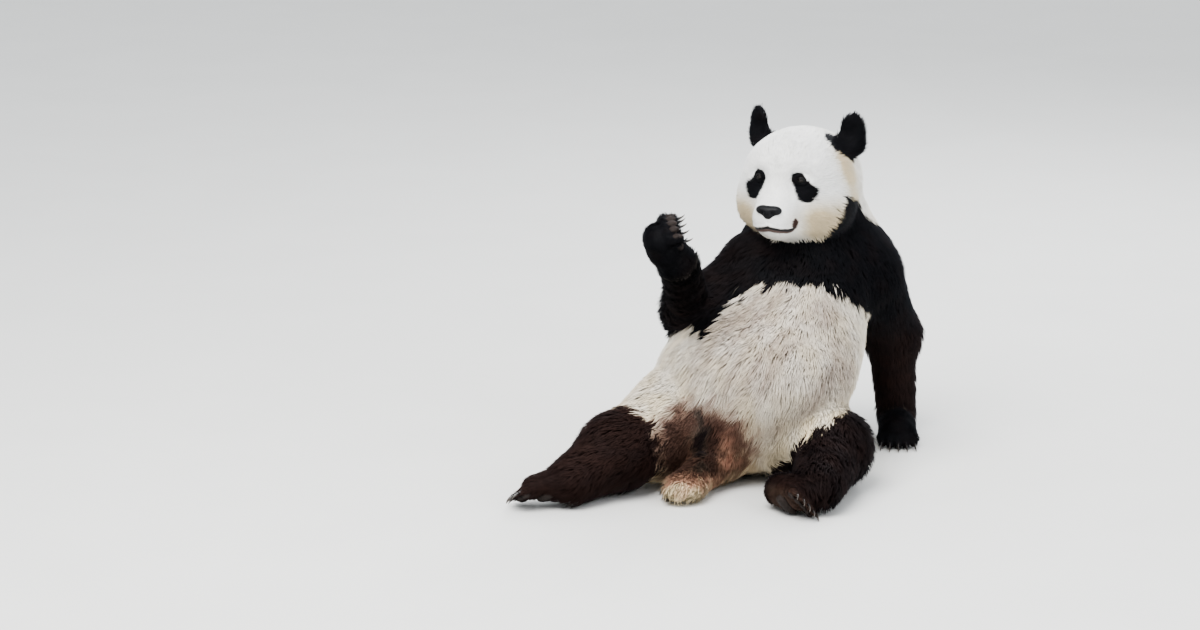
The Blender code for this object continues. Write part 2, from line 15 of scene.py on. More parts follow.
import bmesh
import bpy
import numpy as np
from mathutils import Euler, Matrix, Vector


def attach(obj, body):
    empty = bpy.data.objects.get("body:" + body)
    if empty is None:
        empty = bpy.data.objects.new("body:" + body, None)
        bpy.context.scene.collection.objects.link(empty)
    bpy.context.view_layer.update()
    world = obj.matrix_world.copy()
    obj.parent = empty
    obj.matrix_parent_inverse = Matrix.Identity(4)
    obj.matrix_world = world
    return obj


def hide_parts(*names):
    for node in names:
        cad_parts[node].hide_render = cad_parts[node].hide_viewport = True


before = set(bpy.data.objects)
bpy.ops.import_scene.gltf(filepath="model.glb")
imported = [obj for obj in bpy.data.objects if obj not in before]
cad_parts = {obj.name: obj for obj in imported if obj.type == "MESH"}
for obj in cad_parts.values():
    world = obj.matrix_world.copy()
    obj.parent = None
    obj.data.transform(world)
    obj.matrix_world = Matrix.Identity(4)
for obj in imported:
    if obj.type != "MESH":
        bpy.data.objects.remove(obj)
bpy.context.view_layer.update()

Points = np.ndarray
Triple = tuple[float, float, float]
Piece = bpy.types.Object
log = logging.getLogger("panda")

# Driving dimensions, the same as the solids'
STANCE_CENTRE = np.array([-0.027, 0.055, 0.0])
HEAD_CENTRE = np.array([0.174, 0.200, 0.738])
HEAD_YAW = -23.0
EYE_RADIUS = 0.0115
EYE_PLACE = np.array([0.056, -0.1175, 0.048])
TRUNK_BLEND = 0.090
LIMB_BLEND = 0.045
HEAD_BLEND = 0.045
PAW_BLEND = 0.014
EAR_BLEND = 0.022
SOCKET_BLEND = 0.020
CLAW_RADIUS = 0.0058
CLAW_BEND = 55.0

FLOOR_SKIN = 0.004  # the lowest the skin comes to the floor
FLOOR_LOCK = 0.0006  # the lowest a lock comes to it
FLOOR_CLAW = 0.0008  # a claw that comes lower is bent less
NEAR = 0.12  # past this a mass can't blend with anything
FAR = 0.2  # stands for the distance of what is nowhere near
RISE_Y, RISE_Z = 0.242, 0.97  # how depth and height add up to the rise seen from a little above
SIDES = {"left": 1.0, "right": -1.0}  # the sign of each side's X
SEED = 20


def unit(vectors: Points) -> Points:
    """Vectors at length 1: v / |v|."""
    return vectors / (np.linalg.norm(vectors, axis=-1, keepdims=True) + 1e-12)


def from_spot(points: Points, spot: Points | Triple) -> Points:
    """How far each point is from a spot, or each from its own."""
    return np.linalg.norm(points - spot, axis=1)


def ease(value: Points, low: float, high: float) -> Points:
    """A smooth step from 0 at low to 1 at high: t squared times (3 - 2t)."""
    t = np.clip((value - low) / (high - low), 0.0, 1.0)
    return t * t * (3.0 - 2.0 * t)


def hill(distance: Points, width: float) -> Points:
    """A bell, 1 at zero distance: exp(-(d / width) squared)."""
    return np.exp(-((distance / width) ** 2))


def ripples(points: Points, size: float, seed: int) -> Points:
    """Smooth noise about 0, from -1 to 1: the mean of sines along random directions.

    Args:
        points: Where to read it.
        size: Length of a typical wave.
        seed: Which noise.

    Returns:
        One value for each place.
    """
    draw = np.random.default_rng(seed)
    total = np.zeros(len(points))
    waves = 7
    for _ in range(waves):
        heading = unit(draw.normal(size=3)) * 2.0 * math.pi / (size * draw.uniform(0.6, 1.5))
        total += np.sin(points @ heading + draw.uniform(0.0, 2.0 * math.pi))
    return np.clip(total / math.sqrt(waves), -1.0, 1.0)


def bearings(count: int) -> Points:
    """Even angles round a full turn."""
    return np.linspace(0.0, 2.0 * math.pi, count, endpoint=False)


def turned(degrees: Triple) -> Points:
    """The rotation matrix of turns about X, then Y, then Z."""
    return np.array(Euler([math.radians(a) for a in degrees]).to_matrix())


def joined(one: Points, other: Points, blend: float) -> Points:
    """The smaller distance, rounded off where the two differ by less than blend."""
    near = np.maximum(blend - np.abs(one - other), 0.0) / blend
    return np.minimum(one, other) - near * near * blend / 4.0


def hollowed(body: Points, hollow: Points, blend: float) -> Points:
    """The body with the hollow taken out, its rim rounded by blend."""
    return -joined(-body, hollow, blend)


def slope_of(
    distance: Callable[[Points], Points], points: Points, step: float = 0.001
) -> tuple[Points, Points]:
    """A distance f and its slope, (f(p + step e) - f(p)) / step along each axis e.

    Args:
        distance: f.
        points: Where to read it.
        step: How far ahead f is read.

    Returns:
        f and its slope at each place.
    """
    here = distance(points)
    ahead = [(distance(points + step * axis) - here) / step for axis in np.eye(3)]
    return here, np.stack(ahead, axis=1)


@dataclass(frozen=True)
class Settling:
    """Moves points along the slope of a distance f until it equals minus a depth.

    Each round takes slope times (f + depth) / |slope| squared off the points.
    """

    rounds: int
    step: float = 0.001
    limit: float = 0.02  # the most of a gap that one round closes
    least: float = 0.2  # the least |slope| squared that counts

    def run(self, distance: Callable[[Points], Points], points: Points, depth: Points) -> Points:
        """Settles the points.

        Args:
            distance: f.
            points: Where they start.
            depth: How deep they end.

        Returns:
            Where they end.
        """
        for _ in range(self.rounds):
            here, slope = slope_of(distance, points, self.step)
            steep = np.maximum(np.sum(slope**2, axis=1), self.least)
            gap = np.clip(here + depth, -self.limit, self.limit)
            points = points - slope * (gap / steep)[:, None]
        return points


@dataclass(frozen=True)
class Place:
    """An origin and three axes, as rows, that something is laid out in."""

    origin: Points
    axes: Points

    def inward(self, points: Points) -> Points:
        """From the row frame to its own: (p - origin) against each axis."""
        return (points - self.origin) @ self.axes.T

    def outward(self, local: Points) -> Points:
        """From its own frame to the row frame."""
        return local @ self.axes + self.origin

    def facing(self, local: Points) -> Points:
        """A direction of its own as one of the row frame."""
        return np.asarray(local) @ self.axes


WORLD = Place(-STANCE_CENTRE, np.eye(3))
HEAD_PLACE = Place(HEAD_CENTRE - STANCE_CENTRE, turned((0.0, 0.0, HEAD_YAW)).T)


def paw_place(origin: Triple, toes: Triple, sole: Triple) -> Place:
    """A paw's place at its wrist or ankle: toes towards its -Y, sole towards its -Z.

    Args:
        origin: Its wrist or ankle.
        toes: The way the toes point.
        sole: Roughly the way the sole faces.

    Returns:
        The place.
    """
    y = -unit(np.array(toes))
    down = np.array(sole, float)
    z = -unit(down - (down @ y) * y)
    return Place(np.array(origin) - STANCE_CENTRE, np.array([np.cross(y, z), y, z]))


@dataclass(frozen=True)
class Round:
    """An ellipsoid: its middle, its half sizes, and its turn in degrees."""

    centre: Triple
    radii: Triple
    turn: Triple = (0.0, 0.0, 0.0)

    def distance(self, local: Points) -> Points:
        """Roughly how far each point is outside: g (g - 1) / |slope|, g its growth.

        Args:
            local: Places in its own frame.

        Returns:
            One for each place.
        """
        away = (local - np.array(self.centre)) @ turned(self.turn)
        radii = np.array(self.radii)
        grown = np.linalg.norm(away / radii, axis=1)
        slope = np.linalg.norm(away / radii**2, axis=1) + 1e-9
        return grown * (grown - 1.0) / slope

    def ends(self) -> list[tuple[Points, float]]:
        """A ball round the whole of it."""
        return [(np.array(self.centre), max(self.radii))]

    def stand_in(self) -> tuple[Points, list]:
        """A closed mesh of it.

        Returns:
            Vertices and faces.
        """
        rings, first, last = ball_rings(np.ones(3))
        scale = np.array(self.radii)
        spin = turned(self.turn).T
        centre = np.array(self.centre)
        return loft(*((part * scale) @ spin + centre for part in (rings, first, last)))


@dataclass(frozen=True)
class Length:
    """A tapered length between two round ends."""

    start: Triple
    end: Triple
    start_radius: float
    end_radius: float

    def distance(self, local: Points) -> Points:
        """How far each point is outside the two balls and the cone that wraps them.

        Args:
            local: Places in its own frame.

        Returns:
            One for each place.
        """
        a = np.array(self.start)
        along = np.array(self.end) - a
        squared = along @ along
        taper = self.start_radius - self.end_radius
        left = squared - taper * taper
        from_a = local - a
        y = from_a @ along
        z = y - squared
        x2 = np.sum((from_a * squared - np.outer(y, along)) ** 2, axis=1)
        y2 = y * y * squared
        z2 = z * z * squared
        k = math.copysign(taper * taper, taper) * x2
        side = (np.sqrt(x2 * left / squared) + y * taper) / squared - self.start_radius
        past_b = np.sqrt(x2 + z2) / squared - self.end_radius
        before_a = np.sqrt(x2 + y2) / squared - self.start_radius
        found = np.where(np.sign(y) * left * y2 < k, before_a, side)
        return np.where(np.sign(z) * left * z2 > k, past_b, found)

    def ends(self) -> list[tuple[Points, float]]:
        """Its two balls."""
        both = ((self.start, self.start_radius), (self.end, self.end_radius))
        return [(np.array(end), radius) for end, radius in both]

    def stand_in(self) -> tuple[Points, list]:
        """A closed mesh of it: a ball pulled apart at its middle ring.

        Returns:
            Vertices and faces.
        """
        a, b = np.array(self.start), np.array(self.end)
        over = unit(b - a)
        side = unit(np.cross(over, [0.31, 0.52, 0.79]))
        axes = np.array([side, np.cross(over, side), over])
        rings, first, last = ball_rings(np.ones(3))
        half = len(rings) // 2
        lower = rings[: half + 1] @ axes * self.start_radius + a
        upper = rings[half:] @ axes * self.end_radius + b
        tips = (first @ axes * self.start_radius + a, last @ axes * self.end_radius + b)
        return loft(np.concatenate([lower, upper]), *tips)


def ball_rings(radii: Points, around: int = 16, rows: int = 9) -> tuple[Points, Points, Points]:
    """Rings of a ball from its bottom up: (sin a cos t, sin a sin t, -cos a) times the radii.

    Args:
        radii: Half sizes along X, Y and Z.
        around: Points in a ring.
        rows: Number of rings, without the two poles.

    Returns:
        The rings, the lower pole and the upper pole.
    """
    a = np.linspace(0.0, math.pi, rows + 2)[1:-1, None]
    t = bearings(around)[None, :]
    ring = np.stack([np.sin(a) * np.cos(t), np.sin(a) * np.sin(t), -np.cos(a) + 0.0 * t], axis=-1)
    return ring * radii, np.array([0.0, 0.0, -1.0]) * radii, np.array([0.0, 0.0, 1.0]) * radii


def loft(rings: Points, first: Points, last: Points) -> tuple[Points, list]:
    """A closed surface through rings (rows, around, 3), drawn to a point at both ends.

    Args:
        rings: The rings, counter-clockwise seen from the last one.
        first: The point before the first ring.
        last: The point after the last ring.

    Returns:
        Vertices, and faces as index lists that point outwards.
    """
    rows, around = rings.shape[:2]
    points = np.concatenate([rings.reshape(-1, 3), [first], [last]])
    here = np.arange(rows * around).reshape(rows, around)
    after = np.roll(here, -1, axis=1)
    walls = np.stack([here[:-1], after[:-1], after[1:], here[1:]], axis=-1).reshape(-1, 4)
    bottom = np.stack([after[0], here[0], np.full(around, rows * around)], axis=-1)
    top = np.stack([here[-1], after[-1], np.full(around, rows * around + 1)], axis=-1)
    return points, walls.tolist() + bottom.tolist() + top.tolist()


@dataclass(frozen=True)
class Group:
    """Masses that share a place and blend with each other."""

    masses: tuple
    blend: float
    place: Place

    def distance(self, points: Points) -> Points:
        """The blended distance of every point, worked out in full only near the group.

        Args:
            points: Where to read it.

        Returns:
            One for each place.
        """
        local = self.place.inward(points)
        ends = [end for mass in self.masses for end in mass.ends()]
        centre = np.mean([middle for middle, _ in ends], axis=0)
        reach = max(np.linalg.norm(middle - centre) + radius for middle, radius in ends)
        found = from_spot(local, centre) - reach
        near = found < NEAR
        close = local[near]
        if len(close):
            inside = self.masses[0].distance(close)
            for mass in self.masses[1:]:
                inside = joined(inside, mass.distance(close), self.blend)
            found[near] = inside
        return found

    def stand_in(self) -> tuple[Points, list]:
        """All its masses as closed meshes in the row frame.

        Returns:
            Vertices and faces.
        """
        made = [mass.stand_in() for mass in self.masses]
        points, faces = gathered(made)
        return self.place.outward(points), faces


def gathered(meshes: list[tuple[Points, list]]) -> tuple[Points, list]:
    """Several meshes as one: vertices end to end, faces renumbered.

    Args:
        meshes: Vertices and faces of each.

    Returns:
        Vertices and faces of all.
    """
    starts = np.cumsum([0] + [len(points) for points, _ in meshes])
    faces = [
        [index + int(start) for index in face]
        for start, (_, own) in zip(starts, meshes)
        for face in own
    ]
    return np.concatenate([points for points, _ in meshes]), faces


def mirrored(centre: Triple, radii: Triple, turn: Triple = (0.0, 0.0, 0.0)) -> tuple:
    """The same ellipsoid on each side of the head.

    Args:
        centre: Its middle on the left.
        radii: Half sizes.
        turn: Its turn on the left, in degrees.

    Returns:
        Both.
    """
    x, y, z = centre
    a, b, c = turn
    return (Round((x, y, z), radii, (a, b, c)), Round((-x, y, z), radii, (a, -b, -c)))


TRUNK = Group(
    (
        Round((0.000, 0.120, 0.150), (0.242, 0.225, 0.160)),  # rump
        Round((0.075, 0.085, 0.280), (0.258, 0.235, 0.198)),  # belly
        Round((0.165, 0.190, 0.410), (0.200, 0.205, 0.180), (0, 25, 0)),  # ribs
        Round((0.205, 0.265, 0.515), (0.180, 0.170, 0.150)),  # chest
        Round((0.230, 0.350, 0.510), (0.180, 0.150, 0.160)),  # withers
        Round((0.100, 0.270, 0.260), (0.240, 0.205, 0.240), (-12, 12, 0)),  # back
    ),
    TRUNK_BLEND,
    WORLD,
)
NECK = Group(
    (Length((0.218, 0.280, 0.745), (0.225, 0.345, 0.600), 0.132, 0.138),), LIMB_BLEND, WORLD
)
HEAD = Group(
    (
        Round((0.0, 0.008, 0.024), (0.144, 0.148, 0.132)),  # cranium
        *mirrored((0.069, -0.008, -0.040), (0.087, 0.112, 0.086)),  # cheeks
        Round((0.0, -0.060, 0.050), (0.100, 0.084, 0.080)),  # forehead
        Length((0.0, -0.090, -0.040), (0.0, -0.162, -0.040), 0.066, 0.036),  # muzzle
        Round((0.0, -0.130, -0.012), (0.030, 0.070, 0.030), (14, 0, 0)),  # bridge
        *mirrored((0.021, -0.168, -0.052), (0.029, 0.028, 0.024)),  # upper lips
        Round((0.0, -0.128, -0.085), (0.040, 0.048, 0.025)),  # chin
        Round((0.0, -0.035, -0.072), (0.085, 0.095, 0.052)),  # throat
    ),
    HEAD_BLEND,
    HEAD_PLACE,
)
SOCKETS = Group(mirrored((0.066, -0.165, 0.045), (0.034, 0.040, 0.034)), 0.004, HEAD_PLACE)
EARS = {
    side: Group(
        (
            Round((sign * 0.128, 0.060, 0.141), (0.041, 0.019, 0.053), (0, 0, sign * 40)),
            Round((sign * 0.117, 0.055, 0.106), (0.049, 0.025, 0.037), (0, 0, sign * 40)),
        ),
        EAR_BLEND,
        HEAD_PLACE,
    )
    for side, sign in SIDES.items()
}
EAR_CUPS = Group(
    tuple(
        Round((sign * 0.121, 0.018, 0.140), (0.030, 0.022, 0.036), (0, 0, sign * 40))
        for sign in SIDES.values()
    ),
    0.004,
    HEAD_PLACE,
)
LEGS = {
    "foreleg_left": (
        Round((0.335, 0.310, 0.495), (0.105, 0.115, 0.115)),
        Length((0.365, 0.325, 0.475), (0.444, 0.425, 0.290), 0.100, 0.074),
        Length((0.444, 0.425, 0.290), (0.459, 0.440, 0.085), 0.072, 0.056),
    ),
    "foreleg_right": (
        Round((0.080, 0.190, 0.520), (0.100, 0.105, 0.100)),
        Length((0.070, 0.180, 0.520), (-0.105, 0.110, 0.428), 0.092, 0.068),
        Length((-0.105, 0.110, 0.428), (-0.134, -0.102, 0.592), 0.067, 0.052),
    ),
    "hindleg_left": (
        Round((0.150, 0.045, 0.145), (0.145, 0.140, 0.140)),
        Length((0.150, 0.050, 0.145), (0.262, -0.050, 0.108), 0.130, 0.100),
        Length((0.262, -0.060, 0.108), (0.215, -0.275, 0.070), 0.098, 0.070),
    ),
    "hindleg_right": (
        Round((-0.150, 0.030, 0.145), (0.120, 0.140, 0.135)),
        Length((-0.150, 0.030, 0.145), (-0.290, -0.105, 0.112), 0.130, 0.098),
        Length((-0.290, -0.105, 0.112), (-0.405, -0.215, 0.066), 0.098, 0.070),
    ),
}
HAUNCHES = Group(
    (
        Round((-0.168, -0.020, 0.088), (0.078, 0.085, 0.088)),
        Round((-0.030, -0.025, 0.088), (0.078, 0.085, 0.088)),
    ),
    0.020,
    WORLD,
)
TAIL = Group(
    (
        Length((-0.040, -0.050, 0.070), (-0.118, -0.180, 0.040), 0.066, 0.042),
        Round((-0.124, -0.190, 0.036), (0.056, 0.060, 0.034), (0, 0, -30)),
    ),
    LIMB_BLEND,
    WORLD,
)


@dataclass(frozen=True)
class Paw:
    """A paw with five toes, laid out in its own place."""

    place: Place
    width: float
    length: float
    depth: float
    curl: float  # degrees at each of a toe's two joints
    claw: float  # length of a claw

    def toe(self, number: int) -> tuple[Points, Points, Points, float]:
        """The two joints and the tip of toe 0 to 4, and its radius.

        Args:
            number: 0 to 4, from one side to the other.

        Returns:
            Root, middle joint, tip and radius, in the paw's place.
        """
        across = (number - 2) / 2.0
        spread = across * self.width * 0.78
        reach = self.length * (0.66 - 0.07 * across * across)
        root = np.array([spread * 0.90, -reach, -0.15 * self.depth])
        bend = math.radians(self.curl)
        step = 0.17 * self.length
        fan = across * 0.14
        middle = root + step * np.array([fan, -math.cos(bend), -math.sin(bend)])
        tip = middle + 0.8 * step * np.array([fan, -math.cos(2 * bend), -math.sin(2 * bend)])
        return root, middle, tip, 0.29 * self.width

    def group(self) -> Group:
        """The palm and the toes.

        Returns:
            Its masses, blended.
        """
        w, l, d = self.width, self.length, self.depth
        masses = [
            Round((0.0, -0.40 * l, 0.0), (w, 0.42 * l, d)),
            Round((0.0, -0.08 * l, 0.0), (0.88 * w, 0.35 * l, 0.95 * d)),
            Round((0.0, -0.66 * l, 0.02 * d), (0.92 * w, 0.22 * l, 0.78 * d)),
        ]
        for number in range(5):
            root, middle, tip, radius = self.toe(number)
            masses.append(Length(tuple(root), tuple(middle), radius, radius))
            masses.append(Length(tuple(middle), tuple(tip), radius, 0.86 * radius))
        return Group(tuple(masses), PAW_BLEND, self.place)


PAWS = {
    "forepaw_left": Paw(
        paw_place((0.461, 0.440, 0.054), (-0.03, -0.97, -0.13), (0.0, -0.13, -1.0)),
        0.052, 0.150, 0.048, 12.0, 0.026,
    ),
    "forepaw_right": Paw(
        paw_place((-0.136, -0.110, 0.600), (-0.50, -0.42, 0.76), (0.76, -0.10, 0.60)),
        0.058, 0.165, 0.052, 58.0, 0.017,
    ),
    "hindpaw_left": Paw(
        paw_place((0.117, -0.242, 0.050), (0.55, -0.83, 0.04), (-0.60, -0.38, -0.66)),
        0.050, 0.138, 0.050, 9.0, 0.024,
    ),
    "hindpaw_right": Paw(
        paw_place((-0.408, -0.222, 0.062), (-0.97, -0.17, -0.10), (-0.12, -0.42, -0.90)),
        0.052, 0.150, 0.040, 7.0, 0.022,
    ),
}


class PandaForm:
    """The whole animal as one blended form, out to the tips of its coat."""

    def __init__(self) -> None:
        """Names every group."""
        self.groups: dict[str, Group] = {"trunk": TRUNK, "neck": NECK, "head": HEAD}
        self.groups |= {f"ear_{side}": ear for side, ear in EARS.items()}
        self.groups |= {name: Group(legs, LIMB_BLEND, WORLD) for name, legs in LEGS.items()}
        self.groups |= {name: paw.group() for name, paw in PAWS.items()}
        self.groups |= {"haunches": HAUNCHES, "tail": TAIL}

    def distances(self, points: Points) -> dict[str, Points]:
        """How far each point is outside each group.

        Args:
            points: Where to read it.

        Returns:
            One for each place, by the group's name.
        """
        found = {name: group.distance(points) for name, group in self.groups.items()}
        found["head"] = hollowed(found["head"], SOCKETS.distance(points), SOCKET_BLEND)
        cups = EAR_CUPS.distance(points)
        for side in EARS:
            found[f"ear_{side}"] = hollowed(found[f"ear_{side}"], cups, 0.008)
        return found

    def distance(self, points: Points) -> Points:
        """The blended distance of the whole.

        Args:
            points: Where to read it.

        Returns:
            One for each place.
        """
        own = self.distances(points)
        found = joined(own["trunk"], own["neck"], TRUNK_BLEND)
        found = joined(found, own["head"], HEAD_BLEND)
        for side in EARS:
            found = joined(found, own[f"ear_{side}"], EAR_BLEND)
        for name in LEGS:
            found = joined(found, own[name], LIMB_BLEND)
        for name in PAWS:
            found = joined(found, own[name], PAW_BLEND * 2)
        found = joined(found, own["haunches"], LIMB_BLEND)
        return joined(found, own["tail"], PAW_BLEND)

    def shares(self, points: Points, width: float = 0.012) -> dict[str, Points]:
        """How much each point belongs to each group: exp(-d / width), made to sum to 1.

        Args:
            points: Where to read it.
            width: How softly one group gives way to the next.

        Returns:
            The share of each group at each place.
        """
        own = self.distances(points)
        table = np.stack(list(own.values()))
        weight = np.exp(-(table - table.min(axis=0)) / width)
        weight /= weight.sum(axis=0)
        return dict(zip(own, weight))

    def settle(self, points: Points, depth: Points | float, rounds: int) -> Points:
        """Moves points until they lie at a depth under the form."""
        return Settling(rounds).run(self.distance, points, depth)


FORM = PandaForm()


@dataclass(frozen=True)
class Fur:
    """How the coat of one region grows, in metres."""

    depth: float  # from the skin to the tips
    length: float
    width: float
    spacing: float
    clump: float  # size of the cells whose locks lean together
    rough: float  # how far locks stray, 0 to 1


FURS = {
    "trunk": Fur(0.016, 0.037, 0.0042, 0.0043, 0.026, 0.22),
    "neck": Fur(0.017, 0.038, 0.0040, 0.0043, 0.022, 0.26),
    "head": Fur(0.0095, 0.027, 0.0025, 0.0029, 0.014, 0.18),
    "ear": Fur(0.008, 0.019, 0.0026, 0.0030, 0.008, 0.40),
    "foreleg": Fur(0.014, 0.036, 0.0036, 0.0044, 0.018, 0.36),
    "hindleg": Fur(0.015, 0.038, 0.0038, 0.0046, 0.018, 0.40),
    "forepaw": Fur(0.006, 0.015, 0.0025, 0.0030, 0.008, 0.30),
    "hindpaw": Fur(0.006, 0.015, 0.0025, 0.0030, 0.008, 0.30),
    "haunches": Fur(0.011, 0.026, 0.0034, 0.0040, 0.014, 0.45),
    "tail": Fur(0.013, 0.034, 0.0038, 0.0042, 0.016, 0.50),
}


def fur_of(name: str) -> Fur:
    """The coat of a group, left and right alike."""
    return FURS[name.split("_")[0]]


# The mouth's line in the head's place, from its middle to its left corner
MOUTH_LINE = np.array(
    [
        (0.000, -0.209, -0.0635),
        (0.020, -0.203, -0.0680),
        (0.038, -0.192, -0.0720),
        (0.051, -0.178, -0.0750),
        (0.058, -0.167, -0.0735),
        (0.061, -0.161, -0.0660),
    ]
)
NOSE_TIP = np.array([0.0, -0.215, -0.026])


def smooth_path(corners: Points, count: int) -> Points:
    """A Catmull-Rom curve through the corners, read at count even steps.

    Each stretch is 0.5 (2b + (c-a)t + (2a-5b+4c-d)t2 + (3b-a-3c+d)t3).

    Args:
        corners: Points it passes through.
        count: Number of steps.

    Returns:
        Points along it.
    """
    ends = np.concatenate([[2 * corners[0] - corners[1]], corners, [2 * corners[-1] - corners[-2]]])
    at = np.linspace(0.0, len(corners) - 1.0, count)
    which = np.minimum(at.astype(int), len(corners) - 2)
    t = (at - which)[:, None]
    a, b, c, d = (ends[which + k] for k in range(4))
    cubic = (3 * b - a - 3 * c + d) * t**3
    return 0.5 * (2 * b + (c - a) * t + (2 * a - 5 * b + 4 * c - d) * t**2 + cubic)


def to_path(points: Points, path: Points) -> Points:
    """How far each point is from the nearest point of a finely read path.

    Args:
        points: Where to read it.
        path: Points along the path.

    Returns:
        One for each place.
    """
    found = np.full(len(points), np.inf)
    for spot in path:
        found = np.minimum(found, from_spot(points, spot))
    return found


MOUTH_DEPTH = 0.0025  # of the mouth's line under the tips of the coat
MOUTH_STEPS = 70  # places along its left half
MOUTH_PATH = HEAD_PLACE.inward(
    FORM.settle(HEAD_PLACE.outward(smooth_path(MOUTH_LINE, MOUTH_STEPS)), MOUTH_DEPTH, 4)
)
MOUTH_SMUDGE = np.array([0.059, -0.163, -0.059])  # middle of the dark hair at its corner
# The dark patch by the eye, in X and Z: both ends of its band, and its lobe
PATCH_TOP, PATCH_LOW = np.array([0.0520, 0.0500]), np.array([0.0720, 0.0095])
PATCH_LOBE = np.array([0.0820, 0.0170])


class Face:
    """Where the features of the head lie, read in the head's place."""

    def __init__(self, points: Points) -> None:
        """Keeps the points in the head's place, and folded onto its left side.

        Args:
            points: Where to read it.
        """
        self.local = HEAD_PLACE.inward(points)
        self.folded = self.local.copy()
        self.folded[:, 0] = np.abs(self.folded[:, 0])

    def eye_distance(self) -> Points:
        """How far each point is from the middle of the nearer eye."""
        return from_spot(self.folded, EYE_PLACE)

    def mouth_distance(self, drop: float = 0.0) -> Points:
        """How far each point is from the line of the mouth, or from that line lowered.

        Args:
            drop: How far the line is lowered.

        Returns:
            One for each place.
        """
        raised = self.folded + np.array([0.0, 0.0, drop])
        near = from_spot(raised, MOUTH_PATH.mean(axis=0)) < 0.5 * FAR
        found = np.full(len(raised), FAR)
        found[near] = to_path(raised[near], MOUTH_PATH)
        return found

    def nose_distance(self) -> Points:
        """How far each point is outside the nose leather."""
        return NOSE.distance(HEAD_PLACE.outward(self.local))

    def patch_distance(self) -> Points:
        """How far each point is outside the dark patch round an eye, seen from in front.

        The patch is a slanted band from the eye down and out, with a lobe at its lower outer side.

        Returns:
            One for each place.
        """
        flat = self.folded[:, [0, 2]]
        way = PATCH_LOW - PATCH_TOP
        share = np.clip((flat - PATCH_TOP) @ way / (way @ way), 0.0, 1.0)
        from_line = np.linalg.norm(flat - PATCH_TOP - share[:, None] * way, axis=1)
        band = from_line - 0.0190 - 0.0020 * share
        lobe = from_spot(flat, PATCH_LOBE) - 0.0165
        return np.where(self.local[:, 1] < -0.05, joined(band, lobe, 0.006), FAR)

    def relief(self) -> Points:
        """How far the skin stands proud or sinks: lips, groove under the nose, brow and lid folds.

        Returns:
            One for each place.
        """
        x, _, z = self.folded.T
        front = ease(-self.local[:, 1], 0.08, 0.12)
        mouth = self.mouth_distance()
        lips = 0.0020 * hill(mouth - 0.006, 0.004) - 0.0030 * hill(mouth, 0.0028)
        groove = -0.0020 * hill(x, 0.0022) * ease(-z, 0.040, 0.050) * ease(z, -0.072, -0.064)
        brow = 0.0030 * hill(x - 0.048, 0.026) * hill(z - 0.080, 0.012)
        eye = np.hypot(x - EYE_PLACE[0], 1.25 * (z - EYE_PLACE[2]))
        lids = 0.0022 * hill(eye - 0.0155, 0.0035) - 0.0016 * hill(eye - 0.0225, 0.0030)
        whiskers = 0.0012 * hill(x - 0.030, 0.014) * hill(z + 0.055, 0.010)
        return front * (lips + groove + brow + lids + whiskers)

    def shortness(self) -> Points:
        """How short the coat is kept on the face, 1 for full length.

        It grows with the distance from the nose, and is clipped close to eyes, nose and lips.

        Returns:
            One for each place.
        """
        from_nose = from_spot(self.local, NOSE_TIP)
        grown = np.interp(from_nose, [0.02, 0.06, 0.12, 0.20, 0.30], [0.22, 0.32, 0.50, 0.80, 1.05])
        cheek = ease(self.folded[:, 0], 0.085, 0.130) * ease(-self.local[:, 2], -0.010, 0.060)
        under = ease(-self.local[:, 2], 0.085, 0.110)
        grown = grown + 0.60 * cheek + 1.00 * under
        close = np.minimum(ease(self.eye_distance(), 0.012, 0.034) * 0.7 + 0.3, 1.0)
        lips = ease(self.mouth_distance(), 0.001, 0.020) * 0.5 + 0.5
        return grown * close * lips


NOSE = Group(
    (
        *mirrored((0.0165, -0.203, -0.0205), (0.0185, 0.0140, 0.0120)),
        Round((0.0, -0.205, -0.0330), (0.0135, 0.0125, 0.0125)),
        Round((0.0, -0.206, -0.0220), (0.0160, 0.0120, 0.0110)),
    ),
    0.010,
    HEAD_PLACE,
)
NOSTRILS = Group(
    (
        *mirrored((0.0150, -0.2180, -0.0245), (0.0058, 0.0085, 0.0048)),
        *mirrored((0.0235, -0.2120, -0.0215), (0.0085, 0.0075, 0.0020), (0, -18, 0)),
    ),
    0.003,
    HEAD_PLACE,
)


def coat_depth(points: Points, shares: dict[str, Points]) -> Points:
    """How far the skin lies under the tips of the coat.

    Args:
        points: Where to read it.
        shares: The share of each group there.

    Returns:
        One for each place.
    """
    depth = sum(share * fur_of(name).depth for name, share in shares.items())
    shortness = np.clip(Face(points).shortness(), 0.0, 1.6)
    own = FURS["head"].depth * shortness
    return depth + shares["head"] * (own - FURS["head"].depth)


